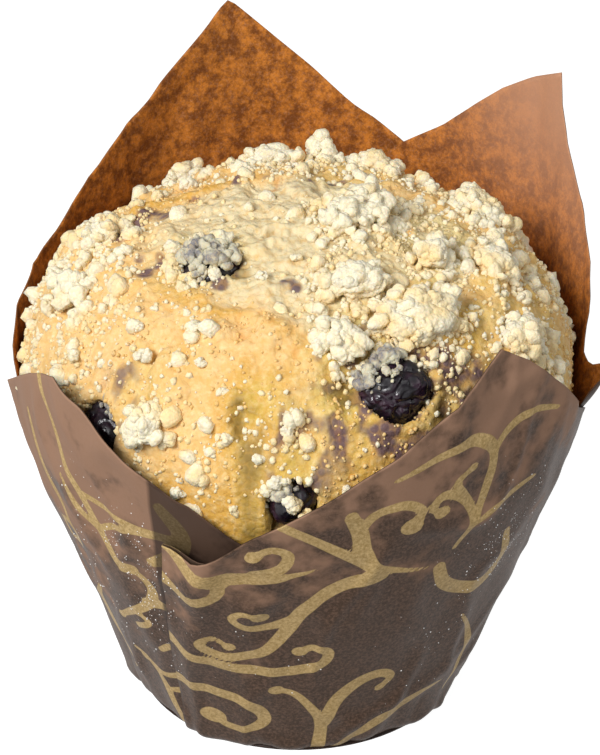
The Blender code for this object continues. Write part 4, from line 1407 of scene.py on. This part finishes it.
class MUFFIN_OT_lumps(bpy.types.Operator):
    """Clump the large streusel crumbs and set the middling ones"""
    bl_idname = "muffin.lumps"
    bl_label = "Large streusel"

    def execute(self, context):
        for title, chosen in (("streusel_lumps_front", True), ("streusel_lumps_back", False)):
            names = [name for name in LUMPS if (name in FRONT_LUMPS) == chosen]
            shapes = []
            for seed, name in enumerate(names):
                shapes += build_lump(LUMPS[name], chosen, 300 + 20 * chosen + seed)
            points, faces = join_shapes(shapes)
            points = inside_case(points, CAKE_GAP)
            piece = make_object(title, points, faces, streusel_finish(title, 0.02))
            report_piece(piece, "streusel", *names)
        shapes = []
        draw = np.random.default_rng(77)
        kinds = small_kinds(8, 3, 400)
        places = np.array([plan(azimuth, distance) for azimuth, distance, _ in LOOSE_CRUMBS])
        relief = dome_relief(places)
        for (azimuth, distance, size), raised in zip(LOOSE_CRUMBS, relief):
            centre, axes = lump_frame(azimuth, distance, raised + size * 0.12)
            halves = size * draw.uniform((0.5, 0.35, 0.22), (0.62, 0.5, 0.34))
            spots = pile_spots(halves * 0.62, 5, draw) @ axes + centre
            shapes += piled(kinds, spots, size * draw.uniform(0.42, 0.78, 5), draw)
        for azimuth, radius, height, size in LODGED:
            centre = np.append(plan(azimuth, radius), height)
            spots = centre + draw.uniform(-0.2, 0.2, (5, 3)) * size
            shapes += piled(kinds, spots, size * draw.uniform(0.5, 0.8, 5), draw)
        points, faces = join_shapes(shapes)
        points = inside_case(points, 0.45)
        piece = make_object("streusel_middling", points, faces, streusel_finish("streusel_mid", 0.05))
        report_piece(piece, "streusel")
        return {'FINISHED'}


class MUFFIN_OT_dust(bpy.types.Operator):
    """Stick crumbs to the berries"""
    bl_idname = "muffin.dust"
    bl_label = "Crumbs on berries"

    def execute(self, context):
        draw = np.random.default_rng(31)
        kinds = small_kinds(6, 3, 560)
        shapes = []
        for name, (count, least, favour) in DUSTED.items():
            centre, _, radius = berry_frame(name)
            placed = 0
            while placed < count:
                way = random_way(draw)
                if way @ np.array(favour) < least + 0.12 * draw.normal():
                    continue
                size = 0.45 + 2.2 * draw.random() ** 2.8
                shapes += piled(kinds, [centre + way * (radius * 0.97 + size * 0.12)], [size], draw)
                placed += 1
        points, faces = join_shapes(shapes)
        points = inside_case(points, 0.45)
        look = settings().crumbs
        piece = make_object("streusel_on_berries", points, faces,
                            streusel_finish("streusel_stained", 0.0, look.stained_colour))
        report_piece(piece, "streusel")
        return {'FINISHED'}


class MUFFIN_OT_crumbs(bpy.types.Operator):
    """Strew small streusel crumbs where they lie thick"""
    bl_idname = "muffin.crumbs"
    bl_label = "Small streusel"

    def execute(self, context):
        look = settings().crumbs
        ground = bpy.data.objects["cake"]
        coarse_finish = streusel_finish("streusel_coarse", 0.04)
        fine_finish = streusel_finish("streusel_fine", 0.13)
        coarse, fine, grit = small_kinds(8, 2, 500), small_kinds(8, 1, 520), small_kinds(8, 1, 540)
        for name, shapes, mask, count, smallest, largest, finish in (
                ("streusel_coarse_crumbs", coarse, "coarse_crumbs", look.coarse_count, 1.1, 3.8,
                 coarse_finish),
                ("streusel_fine_crumbs", fine, "fine_crumbs", look.fine_count, 0.4, 1.5, fine_finish),
                ("crust_grit", grit, "grit", look.grit_count, 0.4, 1.1, crust_grit_finish())):
            group = variant_collection(name + "_kinds", shapes, finish)
            values = {"Shapes": group, "Mask": mask, "Density": count / MM ** 2, "Smallest": smallest,
                      "Largest": largest, "Seed": look.seed}
            piece = scatter(name, ground, values, finish)
            report_piece(piece, "baked_cake" if name == "crust_grit" else "streusel")
        return {'FINISHED'}


class MUFFIN_OT_sugar(bpy.types.Operator):
    """Dust sugar grains on the outside of the case"""
    bl_idname = "muffin.sugar"
    bl_label = "Sugar"

    def execute(self, context):
        case = bpy.data.objects["paper_case"]
        count = len(case.data.vertices)
        azimuth, slant, shows = (np.empty(count, dtype=np.float32) for _ in range(3))
        for name, store in (("azimuth", azimuth), ("slant", slant), ("shows", shows)):
            case.data.attributes[name].data.foreach_get("value", store)
        cover = np.zeros(count)
        for place, height, reach, tall, strength in SUGARED:
            turn = ((azimuth - place + 180) % 360 - 180) / reach
            rise = (slant - height) / tall
            cover = np.maximum(cover, strength * np.exp(-turn ** 2 - rise ** 2))
        flat = wall_points(azimuth.astype(float), slant.astype(float), 0.0)
        clumps = smooth(noise(flat, 3.0, 601) + 0.45)
        add_values(case, "sugar", cover * clumps * shows)
        finish = sugar_finish()
        shapes = [crumb_shape((0.5, 0.42, 0.4), 1, 0.4, 6, 620 + seed, 0.12) for seed in range(5)]
        group = variant_collection("sugar_kinds", shapes, finish)
        values = {"Shapes": group, "Mask": "sugar", "Density": settings().crumbs.sugar_count / MM ** 2,
                  "Smallest": 0.12, "Largest": 0.42, "Seed": 9}
        piece = scatter("sugar_grains", case, values, finish)
        report_piece(piece, "streusel")
        return {'FINISHED'}


class MUFFIN_OT_stage(bpy.types.Operator):
    """Lay the floor, hang the lamps and place the camera"""
    bl_idname = "muffin.stage"
    bl_label = "Stage"

    def execute(self, context):
        look = settings().stage
        scene = context.scene
        build_floor(look.floor_size)
        build_lamp("key_lamp", (-0.40, -0.52, 0.56), 0.34, look.key_power)
        build_lamp("fill_lamp", (0.55, -0.35, 0.32), 0.5, look.fill_power)
        world = bpy.data.worlds.new("soft_sky")
        world.use_nodes = True
        world.node_tree.nodes["Background"].inputs["Color"].default_value = (1, 1, 1, 1)
        world.node_tree.nodes["Background"].inputs["Strength"].default_value = look.sky
        scene.world = world
        scene.view_settings.view_transform = 'Standard'
        build_camera(scene)
        return {'FINISHED'}


def build_floor(half):
    """A white floor that shows plain white to the camera and keeps the shadow."""
    corners = [(-half, -half, 0), (half, -half, 0), (half, half, 0), (-half, half, 0)]
    mesh = bpy.data.meshes.new("floor")
    mesh.from_pydata(corners, [], [(0, 1, 2, 3)])
    floor = bpy.data.objects.new("floor", mesh)
    bpy.context.scene.collection.objects.link(floor)
    tree = Tree("white_floor")
    sight = tree.new("ShaderNodeLightPath")
    seen = tree.maths('MAXIMUM', sight.outputs["Is Camera Ray"], sight.outputs["Is Glossy Ray"])
    seen = tree.maths('MAXIMUM', seen, sight.outputs["Is Transmission Ray"])
    tree.finish((0.30, 0.30, 0.30), 0.9, 0.0)
    tree.shader.inputs["Emission Color"].default_value = (1, 1, 1, 1)
    tree.links.new(tree.maths('MULTIPLY', seen, 0.94), tree.shader.inputs["Emission Strength"])
    mesh.materials.append(tree.material)


def build_lamp(name, place, size, power):
    """A soft square lamp aimed at the cake."""
    data = bpy.data.lights.new(name, 'AREA')
    data.size = size
    data.energy = power
    lamp = bpy.data.objects.new(name, data)
    lamp.location = place
    aim = Vector((0, 0, 0.06)) - Vector(place)
    lamp.rotation_euler = aim.to_track_quat('-Z', 'Y').to_euler()
    bpy.context.scene.collection.objects.link(lamp)


def build_camera(scene):
    """A short telephoto view from the front, looking down 29 degrees."""
    down, away, aim_height = math.radians(29.0), 0.350, 0.050
    data = bpy.data.cameras.new("camera")
    data.lens = 102.5
    data.shift_x = 0.0026
    data.shift_y = 0.029
    data.clip_start = 0.01
    camera = bpy.data.objects.new("camera", data)
    camera.location = (0, -math.cos(down) * away, aim_height + math.sin(down) * away)
    camera.rotation_euler = (math.radians(90) - down, 0, 0)
    scene.collection.objects.link(camera)
    scene.camera = camera


class MUFFIN_PT_panel(bpy.types.Panel):
    """Lists the muffin's pieces"""
    bl_idname = "MUFFIN_PT_panel"
    bl_label = "Muffin"
    bl_space_type = 'VIEW_3D'
    bl_region_type = 'UI'
    bl_category = "Muffin"

    def draw(self, context):
        finish = context.scene.muffin_finish
        self.layout.prop(finish, "paper_thickness")
        self.layout.prop(finish, "case_rows")
        for group in (finish.paper, finish.cake, finish.crumbs, finish.berries, finish.stage):
            box = self.layout.box()
            for name in group.__annotations__:
                box.prop(group, name)
        for operator in OPERATORS:
            self.layout.operator(operator.bl_idname)


OPERATORS = (MUFFIN_OT_case, MUFFIN_OT_cake, MUFFIN_OT_berries, MUFFIN_OT_lumps, MUFFIN_OT_dust,
MUFFIN_OT_crumbs,
             MUFFIN_OT_sugar, MUFFIN_OT_stage)
CLASSES = (PaperLook, CakeLook, CrumbLook, BerryLook, StageLook, MuffinFinish, *OPERATORS,
           MUFFIN_PT_panel)


def register():
    """Add the classes and the scene's settings."""
    for item in CLASSES:
        bpy.utils.register_class(item)
    bpy.types.Scene.muffin_finish = PointerProperty(type=MuffinFinish)


def unregister():
    """Take them away again."""
    del bpy.types.Scene.muffin_finish
    for item in reversed(CLASSES):
        bpy.utils.unregister_class(item)


def main():
    """Build every piece in order."""
    register()
    bpy.ops.muffin.stage()
    bpy.ops.muffin.case()
    bpy.ops.muffin.cake()
    bpy.ops.muffin.berries()
    bpy.ops.muffin.lumps()
    bpy.ops.muffin.dust()
    bpy.ops.muffin.crumbs()
    bpy.ops.muffin.sugar()


if __name__ == "__main__":
    main()
